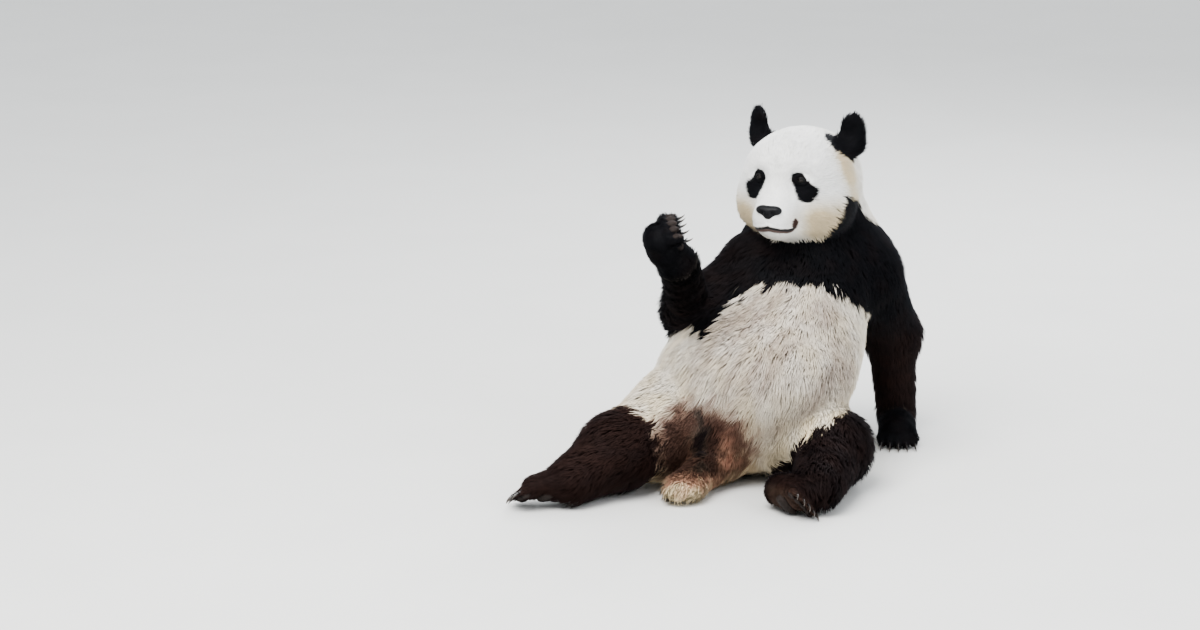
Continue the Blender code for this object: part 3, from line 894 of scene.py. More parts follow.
class Markings:
    """The coat's colours as masks, with painted shade in the seat's cleft and on the lower cheeks,
    the same for skin and locks: formulas of the place alone.
    """

    def __init__(self, points: Points) -> None:
        """Works out the shares of each region at the points.

        Args:
            points: Where to read it.
        """
        self.points = points
        self.stance = points + STANCE_CENTRE
        self.rise = RISE_Z * self.stance[:, 2] + RISE_Y * self.stance[:, 1]
        self.shares = FORM.shares(points)
        self.face = Face(points)
        self.stray = ripples(points, 0.035, 3) * 0.006 + ripples(points, 0.012, 4) * 0.002

    @cached_property
    def above_collar(self) -> Points:
        """White cheeks and nape: above a line that peaks under the ear and falls to the back."""
        _, y, z = self.face.folded.T
        back = [-0.075, -0.033, 0.016, 0.080, 0.113, 0.118, 0.128, 0.161, 0.210, 0.300]
        drop = [-0.100, -0.006, -0.022, -0.034, -0.052, -0.072, -0.090, -0.118, -0.132, -0.165]
        edge = np.interp(y, back, drop)
        return ease(z - edge + self.stray, -0.005, 0.005)

    def shoulder_band(self) -> Points:
        """Black chest, shoulders and withers, above a border that falls to the flanks and back.

        Returns:
            0 to 1 for each place.
        """
        x, y, z = self.stance.T
        out = np.abs(x - 0.155)
        front = np.interp(out, [0.0, 0.075, 0.14, 0.18, 0.22], [0.512, 0.503, 0.475, 0.425, 0.395])
        low = front + (0.400 - front) * ease(y, 0.22, 0.36)
        return ease(z - low + 2.0 * self.stray, -0.010, 0.012)

    def collar(self) -> Points:
        """The black of the chest and neck, up to the jaw in front and the white nape behind.

        Returns:
            0 to 1 for each place.
        """
        x, y, _ = self.face.folded.T
        s = self.shares
        behind = ease(y, -0.070, -0.045)
        neck = (s["trunk"] + s["neck"]) * (1.0 - self.above_collar * behind)
        side = s["head"] * behind * (1.0 - self.above_collar) * ease(x, 0.085, 0.115)
        return ease((neck + side) * self.shoulder_band(), 0.35, 0.65)

    def seat_zone(
        self, centre: tuple[float, float], radii: tuple[float, float], soft: float
    ) -> Points:
        """A soft oval on the seat, 0 to 1, in the plane square to a look from a little above.

        Args:
            centre: Sideways place and rise.
            radii: Half width and half height.
            soft: Width of the oval's fading edge.

        Returns:
            1 inside and 0 outside, and 0 behind the front of the body.
        """
        x, y, _ = self.stance.T
        away = np.hypot((x - centre[0]) / radii[0], (self.rise - centre[1]) / radii[1]) - 1.0
        inside = 1.0 - ease(away * min(radii) + 2.0 * self.stray, -soft, soft)
        return inside * ease(-y, -0.02, 0.05)

    @cached_property
    def seat(self) -> tuple[Points, Points]:
        """How dark and how red the coat is between the thighs: crotch, cleft and haunches; the
        cleft carries painted shade.
        """
        tail, rise = self.shares["tail"], self.rise
        brown = self.seat_zone((-0.078, 0.095), (0.125, 0.110), 0.030)
        bulge = self.seat_zone((-0.150, 0.085), (0.050, 0.065), 0.016)
        edge = bulge * ease(-self.stance[:, 0] + 2.0 * self.stray, 0.160, 0.200)
        deep = self.seat_zone((-0.072, 0.090), (0.050, 0.090), 0.018)
        # painted shade: the groove between the haunch bulges is painted near-black over the seat's
        # own dark-brown coat
        cleft = self.seat_zone((-0.084, 0.108), (0.024, 0.062), 0.014)
        bare = self.seat_zone((-0.008, 0.086), (0.020, 0.046), 0.014)
        tail_top = tail * ease(rise + 2.0 * self.stray, -0.006, 0.034)
        blush = tail * ease(rise + 2.0 * self.stray, -0.040, 0.016)
        pale_tail = 1.0 - tail * (1.0 - ease(rise, -0.006, 0.034))
        dark = np.maximum(0.82 * brown * pale_tail, 0.90 * bulge * (1.0 - 0.45 * edge))
        dark = np.max([dark, 0.95 * deep * pale_tail, 0.92 * tail_top], axis=0)
        dark = np.maximum(dark * (1.0 - 0.55 * bare), cleft * pale_tail)
        red = np.max([0.75 * brown * pale_tail, 0.85 * bare, 0.75 * blush], axis=0)
        return dark, red * (1.0 - 0.6 * cleft)

    def near_thigh(self) -> tuple[Points, Points]:
        """Where the front of the left thigh's border is drawn, and how dark the coat is there.

        The border climbs from the crotch to the knee's outer side: its sideways place against
        the rise.

        Returns:
            Both, 0 to 1 for each place.
        """
        x, y, _ = self.stance.T
        rises, sideways = [0.0, 0.03, 0.10, 0.18, 0.24], [0.095, 0.108, 0.180, 0.300, 0.440]
        border = np.interp(self.rise, rises, sideways)
        own = self.shares["hindleg_left"] + self.shares["trunk"] + self.shares["haunches"]
        front = ease(-y, -0.05, 0.01) * ease(x, 0.03, 0.07) * np.clip(own, 0.0, 1.0)
        return front, ease(x - border + 2.0 * self.stray, -0.008, 0.008)

    @cached_property
    def mouth(self) -> Points:
        """Dark hair along the lower lip and at the mouth's corners."""
        band = 0.80 * (1.0 - ease(self.face.mouth_distance(0.0070), 0.0070, 0.0116))
        away = (self.face.folded - MOUTH_SMUDGE) / (1.0, 1.3, 1.0)
        from_corner = np.linalg.norm(away, axis=1)
        corner = 0.94 * (1.0 - ease(from_corner + 0.5 * self.stray, 0.0088, 0.0132))
        return np.maximum(band, corner)

    @cached_property
    def dark(self) -> Points:
        """Black or brown-black coat, 0 to 1."""
        s = self.shares
        from_ears = np.minimum(*(FORM.groups[f"ear_{side}"].distance(self.points) for side in EARS))
        reach = 0.002 + 0.018 * ease(0.128 - self.face.folded[:, 0], 0.0, 0.028)
        ears = ease(reach - from_ears + 0.3 * self.stray, -0.002, 0.002)
        ears = np.maximum(ears, ease(s["ear_left"] + s["ear_right"], 0.45, 0.65))
        patches = ease(-self.face.patch_distance() + 0.25 * self.stray, -0.0015, 0.0015)
        collar = self.collar()
        arms = ease(s["foreleg_left"] + s["foreleg_right"] + collar, 0.30, 0.50)
        feet = sum(s[name] for name in PAWS)
        sole = -PAWS["hindpaw_left"].place.inward(self.points)[:, 2]
        paler = 0.09 * s["hindpaw_left"] * ease(sole, 0.0, 0.025)
        hip_right = from_spot(self.stance, LEGS["hindleg_right"][0].centre)
        left_thigh = LEGS["hindleg_left"][1]
        way = unit(np.array(left_thigh.end) - left_thigh.start)
        down_thigh = (self.stance - left_thigh.start) @ way
        shank_right = s["hindleg_right"] * ease(hip_right + 3.0 * self.stray, 0.150, 0.200)
        shank_left = s["hindleg_left"] * ease(down_thigh + 1.5 * self.stray, 0.086, 0.104)
        front, thigh = self.near_thigh()
        shank_left = shank_left * (1.0 - front) + front * thigh
        legs = ease(feet + shank_left + shank_right, 0.25, 0.60) * (1.0 - paler)
        return np.max([ears, patches, collar, arms, legs, self.seat[0], self.mouth], axis=0)

    def warm(self) -> Points:
        """Cream and tan in the pale coat, 0 for pure white.

        Returns:
            0 to 1 for each place.
        """
        s, local = self.shares, self.face.local
        x, y, z = self.face.folded.T
        cheek = 0.95 * ease(-z, -0.020, 0.060) * ease(x, 0.035, 0.090)
        swirl = 0.40 * hill(from_spot(self.face.folded, (0.105, -0.105, -0.052)), 0.022)
        jaw = 0.30 * ease(-z, 0.070, 0.110)
        under_ear = np.linalg.norm((local - (0.128, 0.012, 0.068)) / (1.0, 1.0, 1.5), axis=1)
        side = 0.40 * ease(x, 0.100, 0.135) * ease(y, -0.05, 0.01)
        head = np.clip(cheek + swirl + jaw + side + 1.8 * hill(under_ear, 0.034) + 0.02, 0.0, 1.0)
        lower = ease(-self.stance[:, 2], -0.34, -0.10)
        body = 0.57 + 0.24 * lower + 0.12 * ripples(self.points, 0.08, 5)
        nape = s["neck"] * self.above_collar * 0.25
        rump = 0.75 * (s["haunches"] + 0.8 * s["tail"])
        others = 1.0 - s["head"] - s["neck"]
        return np.clip(s["head"] * head + others * body + nape + rump, 0.0, 1.0)

    def rust(self) -> Points:
        """Red-brown in the dark coat, and red in the pale coat round the seat.

        Returns:
            0 to 1 for each place.
        """
        s = self.shares
        others = s["hindleg_right"] + s["hindpaw_left"] + s["hindpaw_right"]
        hind = 0.40 * s["hindleg_left"] + 0.70 * others
        fore_low = ease(-self.stance[:, 2], -0.42, -0.22)
        fore = 0.50 * s["foreleg_left"] * fore_low + 0.25 * s["foreleg_right"]
        found = hind + fore + 0.10 * ripples(self.points, 0.05, 6)
        from_ear = from_spot(self.face.local, (0.128, 0.010, 0.085))
        tan = 0.16 * s["head"] * hill(from_ear, 0.028)
        parts = [self.dark * found, self.seat[1], 0.8 * self.mouth, tan]
        return np.clip(np.max(parts, axis=0), 0.0, 1.0)

    def grime_and_shade(self) -> Points:
        """Grey streaks of the belly, drawn out along the way its coat lies, and painted shade on
        the lower cheeks.

        Returns:
            0 to 1 for each place.
        """
        along = unit(np.array([-0.45, -0.20, -0.87]))
        drawn = self.points - np.outer(self.points @ along, along) * 0.85
        streaks = 0.5 + 0.5 * ripples(drawn, 0.014, 7)
        broad = 0.5 + 0.5 * ripples(drawn, 0.060, 9)
        front = ease(-self.stance[:, 1], -0.16, 0.02)
        flank = ease(self.stance[:, 0], -0.16, 0.02)
        s = self.shares
        belly = s["trunk"] * front * (0.45 + 0.55 * flank) + 0.4 * s["hindleg_right"]
        x, _, z = self.face.folded.T
        # painted shade: the lower cheeks greyed towards the smoke tint, as shade under the jaw
        painted_jowl_shade = 0.24 * s["head"] * ease(-z, 0.010, 0.070) * ease(x, 0.055, 0.105)
        return np.clip(belly * (0.28 + 0.24 * streaks * broad + 0.32 * broad**2) + painted_jowl_shade, 0.0, 1.0)

    def vectors(self) -> Points:
        """(dark, warm, rust) for every point."""
        return np.stack([self.dark, self.warm(), self.rust()], axis=1)


LIES = {
    "trunk": (-0.10, 0.00, -1.00),
    "neck": (0.00, 0.10, -1.00),
    "foreleg_left": (0.12, 0.10, -1.00),
    "foreleg_right": (-0.60, -0.55, 0.10),
    "hindleg_left": (0.05, -0.80, -0.35),
    "hindleg_right": (-0.80, -0.60, -0.25),
    "haunches": (-0.15, -0.50, -0.85),
    "tail": (-0.40, -0.80, -0.30),
}


def lie_of_coat(points: Points, normals: Points, shares: dict[str, Points]) -> Points:
    """The direction along the skin in which the coat lies.

    Each region has its own heading, weighed by its share: away from the nose on the head,
    towards the tip on ears, towards the toes on paws. The sum is laid flat on the skin.

    Args:
        points: Places on the skin.
        normals: The skin's normals there.
        shares: The share of each group there.

    Returns:
        A unit vector for each place.
    """
    stance = points + STANCE_CENTRE
    local = HEAD_PLACE.inward(points)
    total = np.zeros_like(points)
    for name, heading in LIES.items():
        total += shares[name][:, None] * unit(np.array(heading))
    belly = ease(-stance[:, 1], -0.14, 0.02) * shares["trunk"]
    total += belly[:, None] * np.array([-0.42, -0.10, -0.15])
    lower = ease(-stance[:, 1], -0.08, 0.06) * shares["foreleg_right"]
    total += lower[:, None] * np.array([0.45, -0.45, 0.75])
    from_nose = unit(local - NOSE_TIP) + np.array([0.0, 0.25, 0.0])
    from_nose[:, 2] -= 0.55 * ease(np.abs(local[:, 0]), 0.06, 0.14)
    from_nose[:, 2] -= 0.60 * ease(local[:, 1], 0.02, 0.14)
    from_nose[:, 2] -= 1.10 * ease(-local[:, 2], 0.082, 0.110)
    total += shares["head"][:, None] * unit(HEAD_PLACE.facing(from_nose))
    for side, sign in SIDES.items():
        out = unit(local - np.array([sign * 0.095, 0.050, 0.085]))
        total += shares[f"ear_{side}"][:, None] * HEAD_PLACE.facing(out)
    for name, paw in PAWS.items():
        total += shares[name][:, None] * paw.place.facing(np.array([0.0, -1.0, -0.1]))
    swirl = np.stack([ripples(points, 0.075, seed) for seed in (11, 12, 13)], axis=1)
    total = unit(total) + 0.22 * swirl
    total -= np.sum(total * normals, axis=1, keepdims=True) * normals
    return unit(total)


def placed(name: str, data: bpy.types.ID) -> Piece:
    """An object at the origin with this mesh, light or camera.

    Args:
        name: Its name.
        data: What it shows.

    Returns:
        The object.
    """
    made = bpy.data.objects.new(name, data)
    bpy.context.scene.collection.objects.link(made)
    return made


def new_piece(name: str, points: Points, faces: list) -> Piece:
    """An object at the origin with this mesh, smooth shaded.

    Args:
        name: Its name.
        points: Vertices.
        faces: Lists of vertex numbers.

    Returns:
        The object.
    """
    mesh = bpy.data.meshes.new(name)
    mesh.from_pydata(points.tolist(), [], faces)
    mesh.shade_smooth()
    mesh.update()
    return placed(name, mesh)


def read_points(mesh: bpy.types.Mesh, what: str = "co") -> Points:
    """The vertices' places, or their normals.

    Args:
        mesh: The mesh.
        what: co or normal.

    Returns:
        A row for each vertex.
    """
    found = np.empty(len(mesh.vertices) * 3, np.float32)
    mesh.vertices.foreach_get(what, found)
    return found.reshape(-1, 3).astype(float)


def write_points(mesh: bpy.types.Mesh, points: Points) -> None:
    """Puts the vertices in new places."""
    mesh.vertices.foreach_set("co", points.astype(np.float32).ravel())
    mesh.update()


def write_vector(mesh: bpy.types.Mesh, name: str, values: Points) -> None:
    """Keeps a vector for each vertex."""
    attribute = mesh.attributes.new(name, "FLOAT_VECTOR", "POINT")
    attribute.data.foreach_set("vector", values.astype(np.float32).ravel())


def apply_modifiers(target: Piece) -> None:
    """Replaces the object's mesh with its evaluated one.

    Args:
        target: The object.
    """
    graph = bpy.context.evaluated_depsgraph_get()
    made = bpy.data.meshes.new_from_object(target.evaluated_get(graph), depsgraph=graph)
    target.modifiers.clear()
    old = target.data
    target.data = made
    bpy.data.meshes.remove(old)


def remeshed(name: str, meshes: list[tuple[Points, list]], voxel: float) -> Piece:
    """One closed object round overlapping meshes.

    Args:
        name: Its name.
        meshes: Closed meshes.
        voxel: Size of the cells it is rebuilt from.

    Returns:
        The object.
    """
    made = new_piece(name, *gathered(meshes))
    remesh = made.modifiers.new("remesh", "REMESH")
    remesh.mode = "VOXEL"
    remesh.voxel_size = voxel
    remesh.use_smooth_shade = True
    bpy.context.view_layer.update()
    apply_modifiers(made)
    made.data.name = name
    return made


def evened(target: Piece, rounds: int) -> None:
    """Evens out the mesh with a smoothing modifier.

    Args:
        target: The object.
        rounds: How often it is smoothed.
    """
    smooth = target.modifiers.new("even", "SMOOTH")
    smooth.factor = 0.5
    smooth.iterations = rounds
    apply_modifiers(target)


@contextmanager
def edited(mesh: bpy.types.Mesh) -> Iterator[bmesh.types.BMesh]:
    """Opens a mesh for editing, and writes it back.

    Args:
        mesh: The mesh.

    Yields:
        It, open for editing.
    """
    form = bmesh.new()
    form.from_mesh(mesh)
    yield form
    form.to_mesh(mesh)
    form.free()
    mesh.update()


def refined(target: Piece, chosen: Points) -> None:
    """Halves the edges between chosen vertices.

    Args:
        target: The object.
        chosen: True for each vertex to take.
    """
    with edited(target.data) as form:
        edges = [e for e in form.edges if all(chosen[v.index] for v in e.verts)]
        bmesh.ops.subdivide_edges(form, edges=edges, cuts=1, use_grid_fill=True)


def fix_normals(made: Piece) -> None:
    """Turns every face of closed shells outwards.

    Args:
        made: The object.
    """
    with edited(made.data) as form:
        bmesh.ops.recalc_face_normals(form, faces=form.faces)
    made.data.shade_smooth()


def cover(made: Piece, finish: "Finish") -> None:
    """Gives a piece one finish."""
    made.data.materials.clear()
    made.data.materials.append(finish.material())


@dataclass
class Skin:
    """The one skin under the coat."""

    voxel: float = 0.0073
    name: str = "skin"

    def build(self) -> Piece:
        """Shapes the skin under the coat's depth, finer on face and paws.

        Returns:
            The skin.
        """
        made = remeshed(self.name, [group.stand_in() for group in FORM.groups.values()], self.voxel)
        self.lay(made, 4)
        evened(made, 3)
        self.lay(made, 1)
        points = read_points(made.data)
        shares = FORM.shares(points)
        face = (shares["head"] > 0.5) & (Face(points).local[:, 1] < -0.07)
        paws = sum(shares[name] for name in PAWS) > 0.6
        refined(made, face | paws)
        features = Face(read_points(made.data))
        fine = (features.eye_distance() < 0.034) | (features.mouth_distance() < 0.022)
        fine |= from_spot(features.local, NOSE_TIP) < 0.034
        refined(made, fine)
        self.lay(made, 2)
        points, normals = read_points(made.data), read_points(made.data, "normal")
        points += normals * Face(points).relief()[:, None]
        points[:, 2] = np.maximum(points[:, 2], FLOOR_SKIN)
        write_points(made.data, points)
        return made

    def lay(self, made: Piece, rounds: int) -> None:
        """Moves the skin under the coat's depth.

        Args:
            made: The skin.
            rounds: Rounds of settling.
        """
        points = read_points(made.data)
        depth = coat_depth(points, FORM.shares(points))
        write_points(made.data, FORM.settle(points, depth, rounds))

    def dress(self, made: Piece, finish: "CoatFinish") -> None:
        """Marks the skin as the coat is marked, and gives it its finish.

        Args:
            made: The skin.
            finish: The coat's finish.
        """
        points = read_points(made.data)
        marks = Markings(points)
        write_vector(made.data, "marks", marks.vectors())
        # painted shade: the skin reads as the root of a lock, so it is darkened as shade under the
        # coat
        flat = np.full(len(points), 0.5)
        write_vector(made.data, "lock", np.stack([flat, 0.0 * flat, marks.grime_and_shade()], axis=1))
        cover(made, finish)


@dataclass
class Coat:
    """The coat: thousands of small solid locks, grown from the skin and gathered into pieces."""

    skin: Piece
    share_kept: float = 1.0  # of the full number of locks
    seed: int = SEED

    def grow(self) -> "Locks":
        """Plants every lock: its root, its heading, its size and its marks.

        Returns:
            The locks.
        """
        draw = np.random.default_rng(self.seed)
        mesh = self.skin.data
        points, normals = read_points(mesh), read_points(mesh, "normal")
        shares = FORM.shares(points)
        names = list(shares)
        table = np.stack([shares[name] for name in names])
        fields = np.array([astuple(fur_of(name)) for name in names])
        growth = table.T @ fields  # at each vertex
        depth, length, width, spacing, _, rough = growth.T  # its columns, changed in place
        features = Face(points)
        short = np.clip(features.shortness(), 0.16, 1.6)
        blend = shares["head"] * (short - 1.0) + 1.0
        length *= blend
        width *= np.clip(blend, 0.55, 1.15)
        spacing *= np.clip(0.35 + 0.65 * blend, 0.62, 1.15)
        seat = Markings(points).seat_zone((-0.078, 0.080), (0.125, 0.110), 0.030)
        length *= 1.0 - 0.45 * seat
        fold = 4.0 * shares["trunk"] * (shares["hindleg_left"] + shares["hindleg_right"])
        length *= 1.0 - 0.40 * np.clip(fold, 0.0, 1.0)
        fringe = ease(-features.local[:, 2], 0.050, 0.095) * shares["head"]
        rough += 0.12 * fringe * (1.0 - ease(-features.local[:, 1], 0.13, 0.16))
        depth[:] = coat_depth(points, shares)
        lie = lie_of_coat(points, normals, shares)
        density = 1.0 / spacing**2 * self.share_kept
        density *= self.bare(points, normals, features)
        which, corner = self.scatter(mesh, points, density, draw)

        def at(values: Points) -> Points:
            """Reads a vertex field at the roots."""
            return np.einsum("nk,nk...->n...", corner, values[which])

        region = np.array(names, dtype=object)[np.argmax(at(table.T), axis=1)]
        return Locks(at(points), unit(at(normals)), unit(at(lie)), at(growth), region)

    def bare(self, points: Points, normals: Points, features: Face) -> Points:
        """Where no locks grow: on the floor side, under the nose, lips, lids and pads.

        Args:
            points: The skin's vertices.
            normals: Their normals.
            features: The face read there.

        Returns:
            0 where the skin stays bare, up to 1.
        """
        kept = 1.0 - ease(-normals[:, 2], 0.75, 0.92) * ease(-points[:, 2], -0.030, -0.012)
        kept *= ease(features.nose_distance(), -0.0015, 0.0010)
        kept *= ease(features.mouth_distance(), 0.0012, 0.0026)
        kept *= ease(features.mouth_distance(0.0038), 0.0022, 0.0040)
        kept *= ease(features.eye_distance(), 0.0115, 0.0140)
        for pads in PAD_GROUPS.values():
            kept *= ease(pads.distance(points), -0.0005, 0.0025)
        return kept

    def scatter(
        self, mesh: bpy.types.Mesh, points: Points, density: Points, draw: np.random.Generator
    ) -> tuple[Points, Points]:
        """Spreads roots evenly over the skin.

        Triangles are put in the order of a space-filling curve, and the running sum of
        area times density is cut at even, jittered steps.

        Args:
            mesh: The skin.
            points: Its vertices.
            density: Roots for each square metre, at each vertex.
            draw: The source of chance.

        Returns:
            Each root's three vertices, and their weights.
        """
        mesh.calc_loop_triangles()
        corners = np.empty(len(mesh.loop_triangles) * 3, np.int32)
        mesh.loop_triangles.foreach_get("vertices", corners)
        corners = corners.reshape(-1, 3)
        a, b, c = (points[corners[:, k]] for k in range(3))
        order = np.argsort(curve_order((a + b + c) / 3.0, 0.004))
        corners = corners[order]
        area = 0.5 * np.linalg.norm(np.cross(b - a, c - a), axis=1)[order]
        running = np.cumsum(area * density[corners].mean(axis=1))
        count = int(running[-1])
        steps = (np.arange(count) + draw.random(count)) / count * running[-1]
        chosen = corners[np.minimum(np.searchsorted(running, steps), len(corners) - 1)]
        u, v = draw.random((2, count))
        over = u + v > 1.0
        u, v = np.where(over, 1.0 - u, u), np.where(over, 1.0 - v, v)
        return chosen, np.stack([1.0 - u - v, u, v], axis=1)


def curve_order(points: Points, cell: float) -> Points:
    """The place of each point along a Morton curve: its cell's x, y and z, bits interleaved.

    Args:
        points: The points.
        cell: Size of a cell.

    Returns:
        A number for each, to sort by.
    """
    cells = ((points - points.min(axis=0)) / cell).astype(np.int64)
    code = np.zeros(len(points), np.int64)
    for bit in range(10):
        for axis in range(3):
            code |= ((cells[:, axis] >> bit) & 1) << (3 * bit + axis)
    return code


@dataclass(frozen=True)
class Chance:
    """How far something strays by chance, in each lock and in each whole clump."""

    lock: float
    clump: float


class Locks:
    """Every lock of the coat, as arrays with one row each."""

    ROWS = 7  # vertices of a lock: three at its root, three at its middle, one tip
    CORNERS = [math.pi / 2.0 + 2.0 * math.pi * k / 3.0 for k in range(3)]  # round a ring
    TURN = Chance(0.13, 0.16)
    LONGER = Chance(0.16, 0.12)
    LIFT = Chance(0.10, 0.08)
    TONE = Chance(0.20, 0.14)
    FIRST_SHARE = 0.45  # of the length, from the root to the middle
    SWAPPED = 0.06  # of the locks, which take a neighbour's marks
    SWAP_REACH = 0.010
    PATCH = 0.003  # across a lock's patch of its piece's unwrap

    def __init__(
        self, roots: Points, normals: Points, lies: Points, growth: Points, region: Points
    ) -> None:
        """Takes the roots, bends and gathers the locks, and marks them.

        Args:
            roots: Where the locks stand.
            normals: The skin's normals there.
            lies: The way the coat lies there.
            growth: A column for each field of Fur.
            region: The group that each stands on.
        """
        self.roots, self.normals, self.region = roots, normals, region
        self.depth, self.length, self.width, self.spacing, self.clump, self.rough = growth.T
        self.draw = np.random.default_rng(SEED + 1)
        self.vary(lies)
        self.bend()
        marks = Markings(self.shown())
        self.marks = marks.vectors()
        self.grime_and_shade = marks.grime_and_shade()
        self.soften_edges()

    def vary(self, lies: Points) -> None:
        """Turns, lengthens and lifts each lock a little, and each clump as a whole.

        Args:
            lies: The way the coat lies at each root.
        """
        count = len(self.roots)
        chance = self.draw
        warp = np.stack([ripples(self.roots, 0.05, seed) for seed in (21, 22, 23)], axis=1)
        cells = np.floor((self.roots + 0.008 * warp) / self.clump[:, None]).astype(np.int64)
        _, cell = np.unique(cells, axis=0, return_inverse=True)
        cell = cell.ravel()
        clumps = cell.max() + 1
        size = np.bincount(cell, minlength=clumps)
        middle = np.stack(
            [np.bincount(cell, self.roots[:, k], clumps) / size for k in range(3)], axis=1
        )
        self.gather = (middle[cell] - self.roots) * (0.08 + 0.60 * self.rough)[:, None]
        reach = np.linalg.norm(self.gather, axis=1) + 1e-9
        self.gather *= np.minimum(1.0, 0.5 * self.clump / reach)[:, None]

        def strays(by: Chance) -> Points:
            """One draw for each lock, then one for each clump."""
            return by.lock * chance.normal(size=count) + by.clump * chance.normal(size=clumps)[cell]

        turn = strays(self.TURN) * (0.5 + self.rough)
        side = np.cross(lies, self.normals)
        self.lie = lies * np.cos(turn)[:, None] + side * np.sin(turn)[:, None]
        self.side = unit(np.cross(self.lie, self.normals))
        self.length = self.length * np.clip(1.0 + strays(self.LONGER), 0.55, 1.45)
        lift = np.arcsin(np.clip(self.depth / self.length, 0.12, 0.75))
        self.lift = np.clip(lift * (1.0 + self.rough * 2.0 * strays(self.LIFT)), 0.08, 1.0)
        self.tone = np.clip(0.5 + strays(self.TONE), 0.0, 1.0)

    def bend(self) -> None:
        """Lays out root, middle and tip: two straight stretches, the second flatter."""
        n = self.normals

        def stretch_of(share: float, lift: Points) -> Points:
            """A stretch of the length, lifted off the skin."""
            way = np.cos(lift)[:, None] * self.lie + np.sin(lift)[:, None] * n
            return (share * self.length)[:, None] * way

        start = self.roots - 0.0012 * n
        one = stretch_of(self.FIRST_SHARE, self.lift * 1.25)
        two = stretch_of(1.0 - self.FIRST_SHARE, self.lift * 0.75)
        droop = np.zeros_like(n)
        droop[:, 2] = -0.10 * self.length * self.rough
        gather = self.gather - np.sum(self.gather * n, axis=1, keepdims=True) * n
        middle = start + one + 0.35 * gather
        self.spine = np.stack([start, middle, start + one + two + gather + droop], axis=1)

    def shown(self) -> Points:
        """Where each lock shows most: half its length down the lie from its root."""
        return self.roots + (0.5 * self.length)[:, None] * self.lie

    def soften_edges(self) -> None:
        """Lets a few locks take their neighbours' marks, so that no border is a line."""
        count = len(self.roots)
        swap = self.draw.random(count) < self.SWAPPED
        near = np.arange(count) + self.draw.integers(-6, 7, count)
        near = np.clip(near, 0, count - 1)
        swap &= from_spot(self.roots[near], self.roots) < self.SWAP_REACH
        self.marks[swap] = self.marks[near[swap]]

    def points(self, chosen: Points) -> Points:
        """The vertices of the chosen locks, (count, 7, 3).

        Args:
            chosen: Numbers of the locks.

        Returns:
            Rows of x, y, z for each lock.
        """
        spine = self.spine[chosen]
        side, normal = self.side[chosen], self.normals[chosen]
        half = 0.5 * self.width[chosen]
        made = np.empty((len(chosen), self.ROWS, 3))
        for ring, share in ((0, 0.70), (1, 0.85)):
            for k, angle in enumerate(self.CORNERS):
                out = math.cos(angle) * side + 0.55 * math.sin(angle) * normal
                made[:, 3 * ring + k] = spine[:, ring] + out * (share * half)[:, None]
        made[:, 6] = spine[:, 2]
        made[..., 2] = np.maximum(made[..., 2], FLOOR_LOCK)
        return made

    def soft_normals(self, chosen: Points) -> Points:
        """Shading normals: mostly the skin's, a little the lock's own roundness.

        Args:
            chosen: Numbers of the locks.

        Returns:
            A normal for each vertex.
        """
        side, normal = self.side[chosen], self.normals[chosen]
        lie = self.lie[chosen]
        bulge = (0.10 + 0.90 * self.rough[chosen])[:, None]
        made = np.empty((len(chosen), self.ROWS, 3))
        for k, angle in enumerate(self.CORNERS):
            round_off = math.cos(angle) * side + max(math.sin(angle), -0.2) * normal
            made[:, k] = unit(normal + bulge * round_off - 0.06 * lie)
            made[:, 3 + k] = unit(normal + bulge * round_off + 0.03 * lie)
        made[:, 6] = unit(normal + 0.10 * lie)
        return made

    def patches(self, chosen: Points) -> Points:
        """Each lock's patch on an unwrap of its piece: angle round the piece's axis, and height.

        The axis is the longest spread of the roots; u is the angle round it over a full
        turn, and v the way along it.

        Args:
            chosen: Numbers of the locks.

        Returns:
            u and v for each vertex.
        """
        roots = self.roots[chosen]
        middle = roots.mean(axis=0)
        away = roots - middle
        _, axes = np.linalg.eigh(away.T @ away)
        across, over, along = axes.T
        u = np.arctan2(away @ over, away @ across) / (2.0 * math.pi) + 0.5
        height = away @ along
        v = (height - height.min()) / (np.ptp(height) + 1e-9)
        corner = np.stack([u, v], axis=1)[:, None, :] * 0.985 + 0.005
        steps = [(0.0, 0.0), (1.0, 0.0), (0.5, 0.0), (0.0, 0.6), (1.0, 0.6), (0.5, 0.6), (0.5, 1.0)]
        return corner + self.PATCH * np.array(steps)

    def piece(self, name: str, chosen: Points, finish: "CoatFinish") -> Piece:
        """Joins the chosen locks into one piece.

        Args:
            name: Its name.
            chosen: Numbers of the locks.
            finish: Their finish.

        Returns:
            The piece.
        """
        count = len(chosen)
        faces = [(0, 1, 2)]
        for k in range(3):
            after = (k + 1) % 3
            faces += [(k, 3 + k, 3 + after), (k, 3 + after, after), (3 + k, 6, 3 + after)]
        own = np.array(faces, np.int32)
        corners = (np.arange(count, dtype=np.int32)[:, None, None] * self.ROWS + own).ravel()
        mesh = bpy.data.meshes.new(name)
        mesh.vertices.add(count * self.ROWS)
        mesh.vertices.foreach_set("co", self.points(chosen).astype(np.float32).ravel())
        mesh.loops.add(len(corners))
        mesh.loops.foreach_set("vertex_index", corners)
        mesh.polygons.add(len(corners) // 3)
        mesh.polygons.foreach_set("loop_start", np.arange(0, len(corners), 3, dtype=np.int32))
        mesh.update(calc_edges=True)
        mesh.shade_smooth()
        unwrap = mesh.uv_layers.new(name="OFBake")
        patches = self.patches(chosen).reshape(-1, 2)[corners]
        unwrap.data.foreach_set("uv", patches.astype(np.float32).ravel())
        repeat = np.repeat(chosen, self.ROWS)
        write_vector(mesh, "marks", self.marks[repeat])
        along = np.tile(np.array([0.0, 0.0, 0.0, 0.5, 0.5, 0.5, 1.0]), count)
        write_vector(mesh, "lock", np.stack([self.tone[repeat], along, self.grime_and_shade[repeat]], axis=1))
        mesh.normals_split_custom_set_from_vertices(self.soft_normals(chosen).reshape(-1, 3))
        made = placed(name, mesh)
        cover(made, finish)
        return made


Socket = bpy.types.NodeSocket
Fed = Socket | float | Triple  # what an input takes


